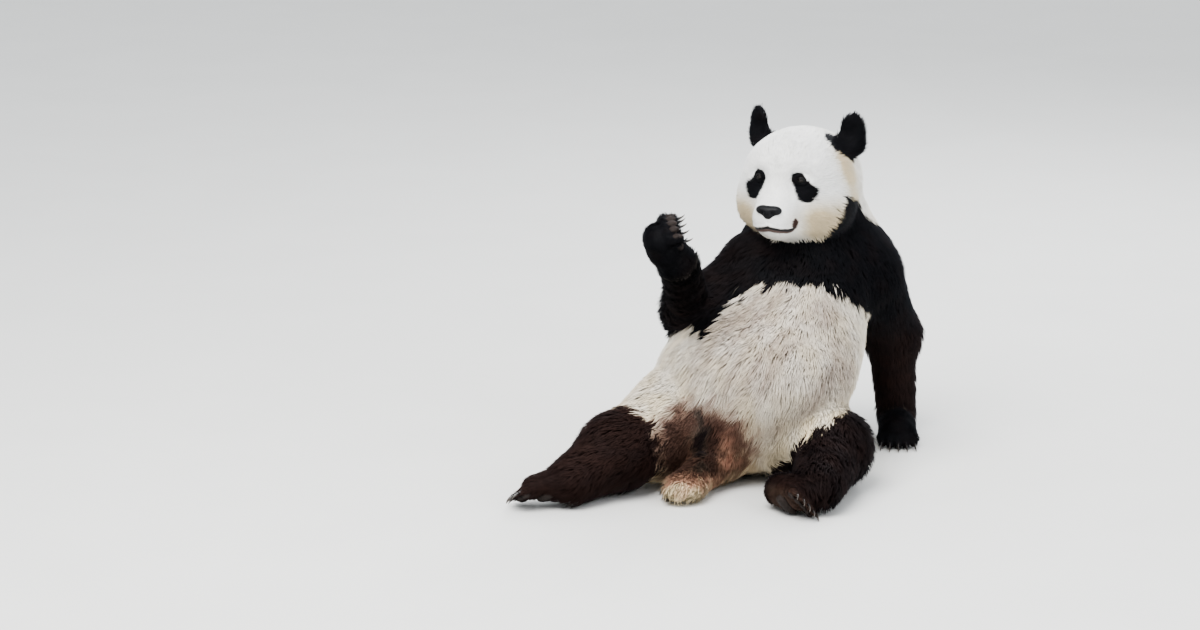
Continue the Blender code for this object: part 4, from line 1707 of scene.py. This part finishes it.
class Nodes:
    """Builds nodes in the tree of a material or group."""

    def __init__(self, tree: bpy.types.NodeTree) -> None:
        """Keeps the tree."""
        self.tree = tree

    def new(self, kind: str, values: dict[str | int, Fed], **settings: str) -> bpy.types.Node:
        """A new node, set and fed.

        Args:
            kind: Its type, without the prefix.
            values: What its inputs are fed, by name or number.
            settings: Its own properties.

        Returns:
            The node.
        """
        node = self.tree.nodes.new("ShaderNode" + kind)
        for name, value in settings.items():
            setattr(node, name, value)
        self.feed(node, values)
        return node

    def feed(self, node: bpy.types.Node, values: dict[str | int, Fed]) -> None:
        """Links a node's inputs to sockets, or sets their numbers, vectors and colours.

        Args:
            node: The node.
            values: What its inputs are fed, by name or number.
        """
        for name, value in values.items():
            socket = node.inputs[name]
            if isinstance(value, Socket):
                self.tree.links.new(value, socket)
            elif isinstance(value, tuple):
                socket.default_value = (*value, 1.0)[: len(socket.default_value)]
            else:
                socket.default_value = value

    def place(self) -> Socket:
        """Object coordinates."""
        return self.new("TexCoord", {}).outputs["Object"]

    def kept(self, name: str) -> bpy.types.bpy_prop_collection:
        """The X, Y and Z of a vector kept on the mesh."""
        reader = self.new("Attribute", {}, attribute_name=name)
        return self.new("SeparateXYZ", {0: reader.outputs["Vector"]}).outputs

    def mixed(self, factor: Fed, one: Fed, other: Fed) -> Socket:
        """A colour mix: one at factor 0, the other at 1; its colours are inputs 6 and 7."""
        return self.new("Mix", {0: factor, 6: one, 7: other}, data_type="RGBA").outputs[2]

    def times(self, one: Fed, other: Fed) -> Socket:
        """The product of two numbers."""
        return self.new("Math", {0: one, 1: other}, operation="MULTIPLY").outputs[0]

    def scaled(self, colour: Fed, factor: Fed) -> Socket:
        """A colour times a number."""
        node = self.new("VectorMath", {0: colour, "Scale": factor}, operation="SCALE")
        return node.outputs[0]

    def stretch(self, value: Fed, low: Fed, high: Fed) -> Socket:
        """A value 0 to 1 mapped to low to high."""
        node = self.new("MapRange", {"Value": value, "To Min": low, "To Max": high})
        return node.outputs[0]

    def grain(self, scale: float, detail: float = 2.0) -> Socket:
        """A noise on Object coordinates, 0 to 1, with this many grains for each metre."""
        inputs = {"Vector": self.place(), "Scale": scale, "Detail": detail}
        return self.new("TexNoise", inputs).outputs["Fac"]

    def bumped(self, height: Fed, strength: float, depth: float) -> Socket:
        """A normal bumped by a height 0 to 1, depth metres at its most."""
        inputs = {"Height": height, "Strength": strength, "Distance": depth}
        return self.new("Bump", inputs).outputs["Normal"]


class Tint(Enum):
    """Colours of the coat, linear."""

    WHITE = (0.90, 0.90, 0.88)
    CREAM = (0.66, 0.55, 0.36)
    # greys the belly streaks, and the lower cheeks as painted shade
    SMOKE = (0.31, 0.245, 0.205)
    RUFOUS = (0.34, 0.135, 0.095)
    BLACK = (0.0045, 0.0045, 0.0060)
    UMBER = (0.030, 0.0140, 0.0105)


def coat_colours() -> bpy.types.NodeTree:
    """A node group: the coat's colour and darkness, from its marks, the lock's own tone, and
    painted shade towards the lock's root.

    Returns:
        The group.
    """
    tree = bpy.data.node_groups.new("coat_colours", "ShaderNodeTree")
    inputs = [(tint.name.title(), "NodeSocketColor", (*tint.value, 1.0)) for tint in Tint]
    for name, kind, value in (*inputs, ("Root Painted Shade", "NodeSocketFloat", 0.6)):
        tree.interface.new_socket(name, in_out="INPUT", socket_type=kind).default_value = value
    for name, kind in (("Colour", "NodeSocketColor"), ("Dark", "NodeSocketFloat")):
        tree.interface.new_socket(name, in_out="OUTPUT", socket_type=kind)
    source = tree.nodes.new("NodeGroupInput").outputs
    make = Nodes(tree)
    dark, warm, rust = make.kept("marks")
    tone, along, grime_and_shade = make.kept("lock")
    pale = make.mixed(warm, source["White"], source["Cream"])
    # the smoke tint: grey belly streaks, and painted shade on the lower cheeks
    pale = make.mixed(grime_and_shade, pale, source["Smoke"])
    pale = make.mixed(rust, pale, source["Rufous"])
    deep = make.mixed(rust, source["Black"], source["Umber"])
    colour = make.mixed(dark, pale, deep)
    fine = make.stretch(make.grain(420.0), 0.93, 1.06)
    shade = make.times(make.stretch(tone, 0.90, 1.08), fine)
    # painted shade: a lock darkens from its tip down to Root Painted Shade at its root, as shade
    # deep in the coat
    shade = make.times(shade, make.stretch(along, source["Root Painted Shade"], 1.05))
    sink = tree.nodes.new("NodeGroupOutput")
    make.feed(sink, {"Colour": make.scaled(colour, shade), "Dark": dark})
    return tree


@dataclass(frozen=True)
class Finish:
    """A named material, built once."""

    name: str

    def material(self) -> bpy.types.Material:
        """Builds the material, or finds the one that is there.

        Returns:
            The material.
        """
        known = bpy.data.materials.get(self.name)
        if known:
            return known
        material = bpy.data.materials.new(self.name)
        material.use_nodes = True
        make = Nodes(material.node_tree)
        make.feed(make.tree.nodes["Principled BSDF"], self.sockets(make))
        return material

    def sockets(self, make: Nodes) -> dict[str, Fed]:
        """What the shader's sockets are fed; each kind of finish has its own."""
        raise NotImplementedError


@dataclass(frozen=True)
class CoatFinish(Finish):
    """Hair over the marks that skin and locks share."""

    # painted shade: how dark a lock is at its root, against 1.05 at its tip
    root_painted_shade: float = 0.84
    sheen: float = 0.03
    specular: float = 0.10
    sheen_tint: Triple = (0.80, 0.85, 1.0)

    def sockets(self, make: Nodes) -> dict[str, Fed]:
        """The shared colours, with black hair a little smoother than white.

        Args:
            make: Builds the nodes.

        Returns:
            What each socket is fed.
        """
        colours = make.tree.nodes.new("ShaderNodeGroup")
        colours.node_tree = bpy.data.node_groups.get("coat_colours") or coat_colours()
        make.feed(colours, {"Root Painted Shade": self.root_painted_shade})
        return {
            "Base Color": colours.outputs["Colour"],
            "Roughness": make.stretch(colours.outputs["Dark"], 0.82, 0.66),
            "Specular IOR Level": self.specular,
            "Sheen Weight": self.sheen,
            "Sheen Roughness": 0.5,
            "Sheen Tint": self.sheen_tint,
        }


@dataclass(frozen=True)
class HideFinish(Finish):
    """Bare hide, such as lids, lips, pads and nose leather."""

    colour: Triple
    worn: Triple
    roughness: float
    pebble: float  # pebbles for each metre
    relief: float
    gloss: float = 0.0
    specular: float = 0.25

    def sockets(self, make: Nodes) -> dict[str, Fed]:
        """Pebbled hide: cells for the pebbles, noise for worn places.

        Args:
            make: Builds the nodes.

        Returns:
            What each socket is fed.
        """
        inputs = {"Vector": make.place(), "Scale": self.pebble}
        groove = make.new("TexVoronoi", inputs, feature="SMOOTH_F1").outputs["Distance"]
        wear = make.stretch(make.grain(self.pebble * 0.12, 4.0), -0.6, 1.5)
        patchy = make.grain(self.pebble * 0.3)
        height = make.new("Math", {0: 1.0, 1: groove}, operation="SUBTRACT").outputs[0]
        return {
            "Base Color": make.mixed(make.times(wear, groove), self.colour, self.worn),
            "Roughness": make.stretch(patchy, self.roughness - 0.08, self.roughness + 0.12),
            "Normal": make.bumped(height, 0.8, self.relief),
            "Specular IOR Level": self.specular,
            "Coat Weight": self.gloss,
            "Coat Roughness": 0.25,
        }


@dataclass(frozen=True)
class HornFinish(Finish):
    """Dark claw horn, paler and more worn at the tip, with fine grooves along it."""

    name: str = "claw_horn"
    colour: Triple = (0.012, 0.010, 0.010)
    worn: Triple = (0.120, 0.095, 0.075)

    def sockets(self, make: Nodes) -> dict[str, Fed]:
        """Horn by the way along the claw, read from its lock vector.

        Args:
            make: Builds the nodes.

        Returns:
            What each socket is fed.
        """
        tip = make.new("Math", {0: make.kept("lock")["Y"], 1: 3.0}, operation="POWER").outputs[0]
        streaks = make.grain(700.0, 3.0)
        worn = make.times(tip, make.stretch(streaks, 0.4, 1.1))
        return {
            "Base Color": make.mixed(worn, self.colour, self.worn),
            "Roughness": make.stretch(streaks, 0.16, 0.34),
            "Normal": make.bumped(streaks, 0.25, 0.0004),
            "Coat Weight": 0.5,
            "Coat Roughness": 0.12,
        }


@dataclass(frozen=True)
class EyeFinish(Finish):
    """A wet eye: slit-like dark pupil, brown iris and a dark rim, by the angle from its gaze."""

    name: str = "wet_eye"
    stops: tuple[tuple[float, Triple], ...] = (
        (0.24, (0.001, 0.001, 0.001)),
        (0.29, (0.010, 0.0045, 0.0025)),
        (0.52, (0.016, 0.0075, 0.004)),
        (0.58, (0.002, 0.002, 0.002)),
        (0.95, (0.010, 0.007, 0.006)),
    )

    def sockets(self, make: Nodes) -> dict[str, Fed]:
        """Rings by the angle from the gaze, read from the lock vector, and rays over the iris.

        Args:
            make: Builds the nodes.

        Returns:
            What each socket is fed.
        """
        ramp = make.new("ValToRGB", {0: make.kept("lock")["Y"]})
        stops = ramp.color_ramp.elements
        for position, _ in self.stops[1:-1]:
            stops.new(position)
        for stop, (position, colour) in zip(stops, self.stops):
            stop.position = position
            stop.color = (*colour, 1.0)
        rays = make.stretch(make.grain(900.0), 0.6, 1.4)
        return {
            "Base Color": make.scaled(ramp.outputs["Color"], rays),
            "Roughness": 0.14,
            "Specular IOR Level": 0.30,
            "Coat Weight": 0.35,
            "Coat Roughness": 0.02,
        }


@dataclass(frozen=True)
class PaperFinish(Finish):
    """Plain paper, very slightly uneven."""

    tone: Triple

    def sockets(self, make: Nodes) -> dict[str, Fed]:
        """Its tone times a broad noise."""
        shade = make.stretch(make.grain(3.0), 0.97, 1.03)
        return {"Base Color": make.scaled(self.tone, shade), "Roughness": 0.9}


@dataclass
class Eye:
    """One eyeball with its cornea, and the lids round it."""

    side: str
    opening: tuple[float, float] = (0.0090, 0.0052)  # half width and half height between the lids

    @property
    def sign(self) -> float:
        """The sign of its side's X."""
        return SIDES[self.side]

    @property
    def centre(self) -> Points:
        """The middle of the ball, in the head's place."""
        return EYE_PLACE * np.array([self.sign, 1.0, 1.0])

    def ball(self) -> Piece:
        """The ball: a sphere whose front swells into the cornea by a bell of the angle.

        Returns:
            The piece.
        """
        rings, first, last = ball_rings(np.ones(3), around=40, rows=38)
        points, faces = loft(rings, first, last)
        forward = points[:, 2]
        angle = np.arccos(np.clip(forward, -1.0, 1.0))
        radius = EYE_RADIUS * (0.985 + 0.045 * hill(angle, 0.55))
        shaped = points * radius[:, None]
        # the pole looks out: local z becomes the head's -Y, turned a little outwards
        gaze = unit(np.array([self.sign * 0.22, -1.0, -0.06]))
        side = unit(np.cross(gaze, [0.0, 0.0, 1.0]))
        axes = np.array([side, np.cross(gaze, side), gaze])
        outside = HEAD_PLACE.outward(shaped @ axes + self.centre)
        made = new_piece(f"eyeball_{self.side}", outside, faces)
        narrow = np.hypot(points[:, 0] * 1.25, points[:, 1] * 0.90)
        reach = np.where(forward > 0.0, narrow, 1.0)
        write_vector(made.data, "lock", np.stack([0 * reach, reach, 0 * reach], axis=1))
        cover(made, EyeFinish())
        return made

    def lids(self) -> Piece:
        """The lids: an almond opening whose rim rolls over the ball and eases into the skin.

        At the angle t and the share v from rim to skirt, the flat place is the almond grown
        by v, and the height is the ball's front, then a skirt that sinks under the coat.

        Returns:
            The piece.
        """
        around, rows = 64, 14
        t = bearings(around)[None, :]
        v = np.linspace(0.0, 1.0, rows)[:, None]
        wide, high = self.opening
        almond = 1.0 - 0.16 * np.sin(2.0 * t) ** 2
        upper = np.where(np.sin(t) > 0.0, 1.0, 0.86)
        grow = 0.0110 * v**1.2
        tilt = -0.20 * self.sign
        flat_x = (wide * almond + grow) * np.cos(t)
        flat_z = (high * almond * upper + grow * 0.95) * np.sin(t)
        x = flat_x * math.cos(tilt) - flat_z * math.sin(tilt)
        z = flat_x * math.sin(tilt) + flat_z * math.cos(tilt)
        from_middle = np.hypot(x, z)
        shell = EYE_RADIUS + 0.0013
        front = np.sqrt(np.maximum(shell**2 - from_middle**2, 0.0))
        creases = 0.0004 * np.sin(v * 22.0) * ease(v, 0.10, 0.30) * (0.6 + 0.4 * np.sin(t))
        skirt = 0.0068 - 0.0090 * v**1.6 + creases
        height = np.maximum(front, skirt) + 0.0006 * hill(v - 0.10, 0.10)
        outer = np.stack([x, -height, z], axis=-1)
        back = outer * np.array([0.985, 1.0, 0.985])
        inner = np.sqrt(np.maximum((shell - 0.0010) ** 2 - from_middle**2, 0.0))
        back[..., 1] = -np.maximum(inner, skirt - 0.0012)
        rolled = outer[0] * np.array([0.965, 1.0, 0.965]) + np.array([0.0, 0.0006, 0.0])
        rings = np.concatenate([back[::-1], rolled[None], outer])
        here = np.arange(len(rings) * around).reshape(len(rings), around)
        after = np.roll(here, -1, axis=1)
        up = [np.roll(corner, -1, axis=0) for corner in (here, after)]
        faces = np.stack([here, *up, after], axis=-1).reshape(-1, 4).tolist()
        points = HEAD_PLACE.outward(rings.reshape(-1, 3) + self.centre)
        made = new_piece(f"eyelids_{self.side}", points, faces)
        cover(made, LID_HIDE)
        return made


LID_HIDE = HideFinish(
    "lid_hide", (0.003, 0.003, 0.003), (0.008, 0.007, 0.007),
    roughness=0.60, pebble=1400.0, relief=0.0003,
)
NOSE_HIDE = HideFinish(
    "nose_hide", (0.0035, 0.0035, 0.0045), (0.010, 0.011, 0.014),
    roughness=0.44, pebble=900.0, relief=0.0007, gloss=0.08, specular=0.18,
)
LIP_HIDE = HideFinish(
    "lip_hide", (0.009, 0.008, 0.008), (0.022, 0.018, 0.018),
    roughness=0.50, pebble=1100.0, relief=0.0004, gloss=0.08,
)
PAD_HIDE = HideFinish(
    "pad_hide", (0.014, 0.0095, 0.0080), (0.040, 0.027, 0.023),
    roughness=0.68, pebble=620.0, relief=0.0009,
)


@dataclass
class Nose:
    """The nose leather: two wings over a base, with nostrils that open out and up."""

    voxel: float = 0.0011
    settling: Settling = Settling(5, step=0.0004, limit=0.004, least=0.3)

    def build(self) -> Piece:
        """Shapes it by its own distance, hollowed by the nostrils.

        Returns:
            The piece.
        """
        made = remeshed("nose_leather", [NOSE.stand_in()], self.voxel)
        write_points(made.data, self.settling.run(self.distance, read_points(made.data), 0.0))
        evened(made, 2)
        cover(made, NOSE_HIDE)
        return made

    def distance(self, points: Points) -> Points:
        """The leather without its nostrils and the groove down its middle.

        Args:
            points: Where to read it.

        Returns:
            One for each place.
        """
        found = hollowed(NOSE.distance(points), NOSTRILS.distance(points), 0.003)
        local = HEAD_PLACE.inward(points)
        groove = 0.0012 * hill(local[:, 0], 0.0016) * ease(-local[:, 2], 0.024, 0.032)
        return found + groove


def tube(
    path: Points, across: Points, over: Points, wide: Points, high: Points, around: int = 12
) -> tuple[Points, list]:
    """A closed tube carried along a path: path + wide cos t across + high sin t over.

    Args:
        path: Its middle line.
        across: One way across it.
        over: The other way.
        wide: Half width along across.
        high: Half width along over.
        around: Points in a ring.

    Returns:
        Vertices and faces.
    """
    t = bearings(around)[None, :, None]
    rings = (
        path[:, None]
        + wide[:, None, None] * np.cos(t) * across[:, None]
        + high[:, None, None] * np.sin(t) * over[:, None]
    )
    return loft(rings, path[0], path[-1])


@dataclass
class Lips:
    """The dark edges of the closed mouth, upper and lower, thicker towards the corners."""

    upper: Triple = (0.0018, 0.0020, 0.0017)  # rise from the line, half height, half depth
    lower: Triple = (-0.0034, 0.0040, 0.0025)

    def build(self) -> Piece:
        """Carries two flat tubes along the line of the mouth, laid on the skin.

        Returns:
            The piece.
        """
        path = np.concatenate([MOUTH_PATH[:0:-1] * np.array([-1.0, 1.0, 1.0]), MOUTH_PATH])
        points = HEAD_PLACE.outward(path)
        out = unit(slope_of(FORM.distance, points)[1])
        ahead = unit(np.gradient(points, axis=0))
        up = unit(np.cross(out, ahead))
        up *= np.sign(up[:, 2:3]) + (up[:, 2:3] == 0.0)
        share = np.abs(np.linspace(-1.0, 1.0, len(points)))
        taper = np.sqrt(np.clip(1.0 - share**12, 0.0, 1.0)) + 0.02
        swell = (1.0 + 0.25 * share**3) * taper
        meshes = []
        for lift, wide, high in (self.upper, self.lower):
            middle = FORM.settle(points + up * lift, MOUTH_DEPTH, 2)
            meshes.append(tube(middle, up, out, wide * swell, high * swell))
        made = new_piece("lips", *gathered(meshes))
        fix_normals(made)
        cover(made, LIP_HIDE)
        return made


def pads_of(paw: Paw) -> Group:
    """The bare pads of a paw: one under each toe, and a broad one under the palm.

    Args:
        paw: The paw.

    Returns:
        The pads, blended.
    """
    w, l, d = paw.width, paw.length, paw.depth
    masses = []
    for number in range(5):
        _, middle, tip, radius = paw.toe(number)
        way = unit(tip - middle)
        under = unit(np.array([0.0, 0.0, -1.0]) - way * -way[2])
        centre = 0.35 * middle + 0.65 * tip + under * radius * 0.62
        pitch = math.degrees(math.atan2(way[2], -way[1]))
        radii = (0.66 * radius, 0.92 * radius, 0.42 * radius)
        masses.append(Round(tuple(centre), radii, (-pitch, 0.0, 0.0)))
    masses.append(Round((0.0, -0.50 * l, -0.72 * d), (0.70 * w, 0.15 * l, 0.26 * d)))
    for sign in SIDES.values():
        centre = (sign * 0.42 * w, -0.47 * l, -0.66 * d)
        masses.append(Round(centre, (0.26 * w, 0.12 * l, 0.26 * d)))
    return Group(tuple(masses), 0.004, paw.place)


PAD_GROUPS = {name: pads_of(paw) for name, paw in PAWS.items()}


@dataclass
class PawTrim:
    """The pads and claws of one paw."""

    name: str
    pad_voxel: float = 0.0022
    steps: int = 9  # rings of a claw
    around: int = 12
    least_bend: float = -60.0
    bend_step: float = 5.0

    def pads(self) -> Piece:
        """The pads as rounded cushions of hide, kept off the floor.

        Returns:
            The piece.
        """
        group = PAD_GROUPS[self.name]
        made = remeshed(f"pads_{self.name}", [group.stand_in()], self.pad_voxel)
        evened(made, 3)
        points = read_points(made.data)
        points += 0.0006 * ripples(points, 0.010, 31)[:, None] * read_points(made.data, "normal")
        points[:, 2] = np.maximum(points[:, 2], FLOOR_LOCK)
        write_points(made.data, points)
        cover(made, PAD_HIDE)
        return made

    def rings(self, number: int, bend: float) -> tuple[Points, Points]:
        """The rings of a claw and its tip.

        The spine turns by bend times the share along it squared, and the half height falls
        as 1 - share to the power 1.6; the under side is flatter than the back.

        Args:
            number: 0 to 4.
            bend: Degrees from root to tip.

        Returns:
            Rings and tip in the row frame.
        """
        paw = PAWS[self.name]
        _, middle, tip, radius = paw.toe(number)
        ahead = unit(tip - middle)
        side = np.array([1.0, 0.0, 0.0])
        side = unit(side - (side @ ahead) * ahead)
        up = np.cross(side, ahead)
        up = up if up[2] > 0.0 else -up
        share = np.linspace(0.0, 1.0, self.steps)[:, None]
        turn = math.radians(bend) * share**2
        facing = ahead * np.cos(turn) - up * np.sin(turn)
        over = ahead * np.sin(turn) + up * np.cos(turn)
        stride = (radius + paw.claw) / (self.steps - 1)
        run = np.concatenate([0 * facing[:1], np.cumsum(facing[:-1], axis=0)])
        spine = tip + 0.20 * radius * up + run * stride
        half = CLAW_RADIUS * (1.0 - 0.97 * share**1.6)[:, None]
        t = bearings(self.around)[None, :, None]
        flat = np.where(np.sin(t) > 0.0, 1.0, 0.72)
        wide, high = 0.66 * half * np.cos(t) * side, half * np.sin(t) * flat * over[:, None]
        made = spine[:, None] + wide + high
        return paw.place.outward(made), paw.place.outward(spine[-1] + 0.0006 * facing[-1])

    def claws(self) -> list[Piece]:
        """Five claws, each bent as far as the floor lets it.

        Returns:
            The claws.
        """
        made = []
        for number in range(5):
            bend = CLAW_BEND
            rings, tip = self.rings(number, bend)
            while rings[..., 2].min() < FLOOR_CLAW and bend > self.least_bend:
                bend -= self.bend_step
                rings, tip = self.rings(number, bend)
            points, faces = loft(rings, rings[0].mean(axis=0), tip)
            points[:, 2] = np.maximum(points[:, 2], FLOOR_LOCK)
            cad = f"claw_{self.name}_{number + 1}"
            piece = new_piece(cad.replace("claw", "horn"), points, faces)
            fix_normals(piece)
            along = np.append(np.repeat(np.linspace(0.0, 1.0, self.steps), self.around), [0.0, 1.0])
            write_vector(piece.data, "lock", np.stack([0 * along, along, 0 * along], axis=1))
            cover(piece, HornFinish())
            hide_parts(cad)
            made.append(piece)
        return made


COAT_PIECES = {
    "coat_face": ("head", "white_coat"),
    "coat_crown": ("head", "white_coat"),
    "coat_nape": ("neck", "white_coat"),
    "coat_ears": ("ear", "black_coat"),
    "coat_breast": ("trunk", "cream_coat"),
    "coat_back": ("trunk", "cream_coat"),
    "coat_foreleg_left": ("foreleg_left", "black_coat"),
    "coat_foreleg_right": ("foreleg_right", "black_coat"),
    "coat_hindleg_left": ("hindleg_left", "brown_black_coat"),
    "coat_hindleg_right": ("hindleg_right", "brown_black_coat"),
    "coat_forepaws": ("forepaw", "black_coat"),
    "coat_hindpaws": ("hindpaw", "brown_black_coat"),
    "coat_rump": ("haunches tail", "cream_coat"),
}
MOST_LOCKS = 19500  # in one piece, so that it stays under 200,000 triangles
FACE_BACK = -0.045  # where the face's coat ends, in the head's Y
BREAST_BACK = 0.02  # where the breast's coat ends, in Y


@dataclass(frozen=True)
class SoftBox:
    """A square soft light."""

    name: str
    place: Triple
    size: float
    power: float
    tint: Triple

    def hang(self, aim: Triple) -> None:
        """Hangs the light and turns it to its aim.

        Args:
            aim: Where it shines.
        """
        lamp = bpy.data.lights.new(self.name, "AREA")
        lamp.size = self.size
        lamp.energy = self.power
        lamp.color = self.tint
        made = placed(self.name, lamp)
        made.location = self.place
        made.rotation_euler = (Vector(aim) - Vector(self.place)).to_track_quat("-Z", "Y").to_euler()


@dataclass(frozen=True)
class Studio:
    """A pale round floor whose rim turns up, soft lights, and the camera."""

    target: Triple = (-0.3107, 0.0493, 0.4184)
    distance: float = 11.0
    elevation: float = 14.0
    seen_width: float = 3.117  # metres across the picture at the target
    sensor: float = 36.0
    floor_tone: Triple = (0.70, 0.70, 0.68)
    floor_reach: float = 18.0  # radius of the flat floor
    floor_bend: float = 5.0  # radius of the upturned rim
    aim: Triple = (0.0, 0.0, 0.45)
    air: float = 1.15
    boxes: tuple[SoftBox, ...] = (
        SoftBox("key_light", (-1.3, -2.4, 4.6), 3.4, 380.0, (1.0, 0.985, 0.965)),
        SoftBox("fill_light", (3.4, -2.8, 2.0), 3.0, 80.0, (0.95, 0.97, 1.0)),
        SoftBox("rim_light", (1.6, 3.2, 3.2), 2.2, 110.0, (0.97, 0.98, 1.0)),
    )

    def backdrop(self) -> Piece:
        """A round floor whose rim turns up: flat out to its radius, then a quarter circle.

        Returns:
            The floor.
        """
        around = 96
        turn = np.linspace(0.0, math.pi / 2.0, 16)
        radius = np.concatenate([[0.5, 4.0], self.floor_reach + self.floor_bend * np.sin(turn)])
        height = np.concatenate([[0.0, 0.0], self.floor_bend * (1.0 - np.cos(turn))])
        angle = bearings(around)
        grid = np.empty((len(radius), around, 3))
        grid[..., 0] = radius[:, None] * np.cos(angle)
        grid[..., 1] = radius[:, None] * np.sin(angle)
        grid[..., 2] = height[:, None]
        here = np.arange(len(radius) * around).reshape(-1, around)
        after = np.roll(here, -1, axis=1)
        sides = np.stack([here[:-1], here[1:], after[1:], after[:-1]], axis=-1).reshape(-1, 4)
        faces = [here[0].tolist(), *sides.tolist()]
        made = new_piece("studio_floor", grid.reshape(-1, 3), faces)
        cover(made, PaperFinish("studio_paper", self.floor_tone))
        return made

    def lights(self) -> None:
        """A broad soft key from above, a fill from the right, a rim from behind, bright air."""
        for box in self.boxes:
            box.hang(self.aim)
        world = bpy.data.worlds.new("studio_air")
        world.use_nodes = True
        air = world.node_tree.nodes["Background"]
        air.inputs["Color"].default_value = (0.93, 0.96, 1.0, 1.0)
        air.inputs["Strength"].default_value = self.air
        bpy.context.scene.world = world
        bpy.context.scene.view_settings.look = "AgX - Medium High Contrast"

    def camera(self) -> None:
        """Looks down a little from in front, from far enough for a calm perspective."""
        lens = bpy.data.cameras.new("camera")
        lens.sensor_width = self.sensor
        lens.lens = self.sensor * self.distance / self.seen_width
        lens.clip_end = 60.0
        made = placed("camera", lens)
        rise = math.radians(self.elevation)
        back = Vector((0.0, -math.cos(rise), math.sin(rise)))
        made.location = Vector(self.target) + back * self.distance
        made.rotation_euler = (-back).to_track_quat("-Z", "Y").to_euler()
        bpy.context.scene.camera = made


def add(piece: Piece) -> None:
    """Lets a piece ride on the body and reports it.

    Args:
        piece: The piece.
    """
    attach(piece, "root")
    log.info("%s: %d faces", piece.name, len(piece.data.polygons))


def grow_coat(skin: Piece) -> None:
    """Grows the coat and shares it out into pieces by the region its roots stand on.

    Args:
        skin: The finished skin.
    """
    locks = Coat(skin, 1.0).grow()
    finish = CoatFinish("coat_hair")
    face = HEAD_PLACE.inward(locks.roots)[:, 1] < FACE_BACK
    breast = locks.roots[:, 1] < BREAST_BACK
    halves = {"coat_face": face, "coat_crown": ~face, "coat_breast": breast, "coat_back": ~breast}
    for name, (regions, slot) in COAT_PIECES.items():
        chosen = np.array([found.startswith(tuple(regions.split())) for found in locks.region])
        found = np.nonzero(chosen & halves.get(name, True))[0]
        parts = max(1, math.ceil(len(found) / MOST_LOCKS))
        for number, share in enumerate(np.array_split(found, parts)):
            label = name if parts == 1 else f"{name}_{number + 1}"
            add(locks.piece(label, share, finish))


def main() -> None:
    """Builds the pieces in order and reports each."""
    logging.basicConfig(level=logging.INFO, format="%(message)s")
    bare = ("claw", "eye", "nose")
    flesh = [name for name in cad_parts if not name.startswith(bare)]
    builder = Skin()
    skin = builder.build()
    builder.dress(skin, CoatFinish("under_coat", root_painted_shade=0.88, sheen=0.0))
    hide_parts(*flesh)
    add(skin)
    grow_coat(skin)
    for side in SIDES:
        eye = Eye(side)
        ball = eye.ball()
        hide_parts(f"eye_{side}")
        add(ball)
        add(eye.lids())
    nose = Nose().build()
    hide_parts("nose")
    add(nose)
    add(Lips().build())
    for name in PAWS:
        trim = PawTrim(name)
        add(trim.pads())
        for claw in trim.claws():
            add(claw)
    studio = Studio()
    studio.backdrop()
    studio.lights()
    studio.camera()


if __name__ == "__main__":
    main()
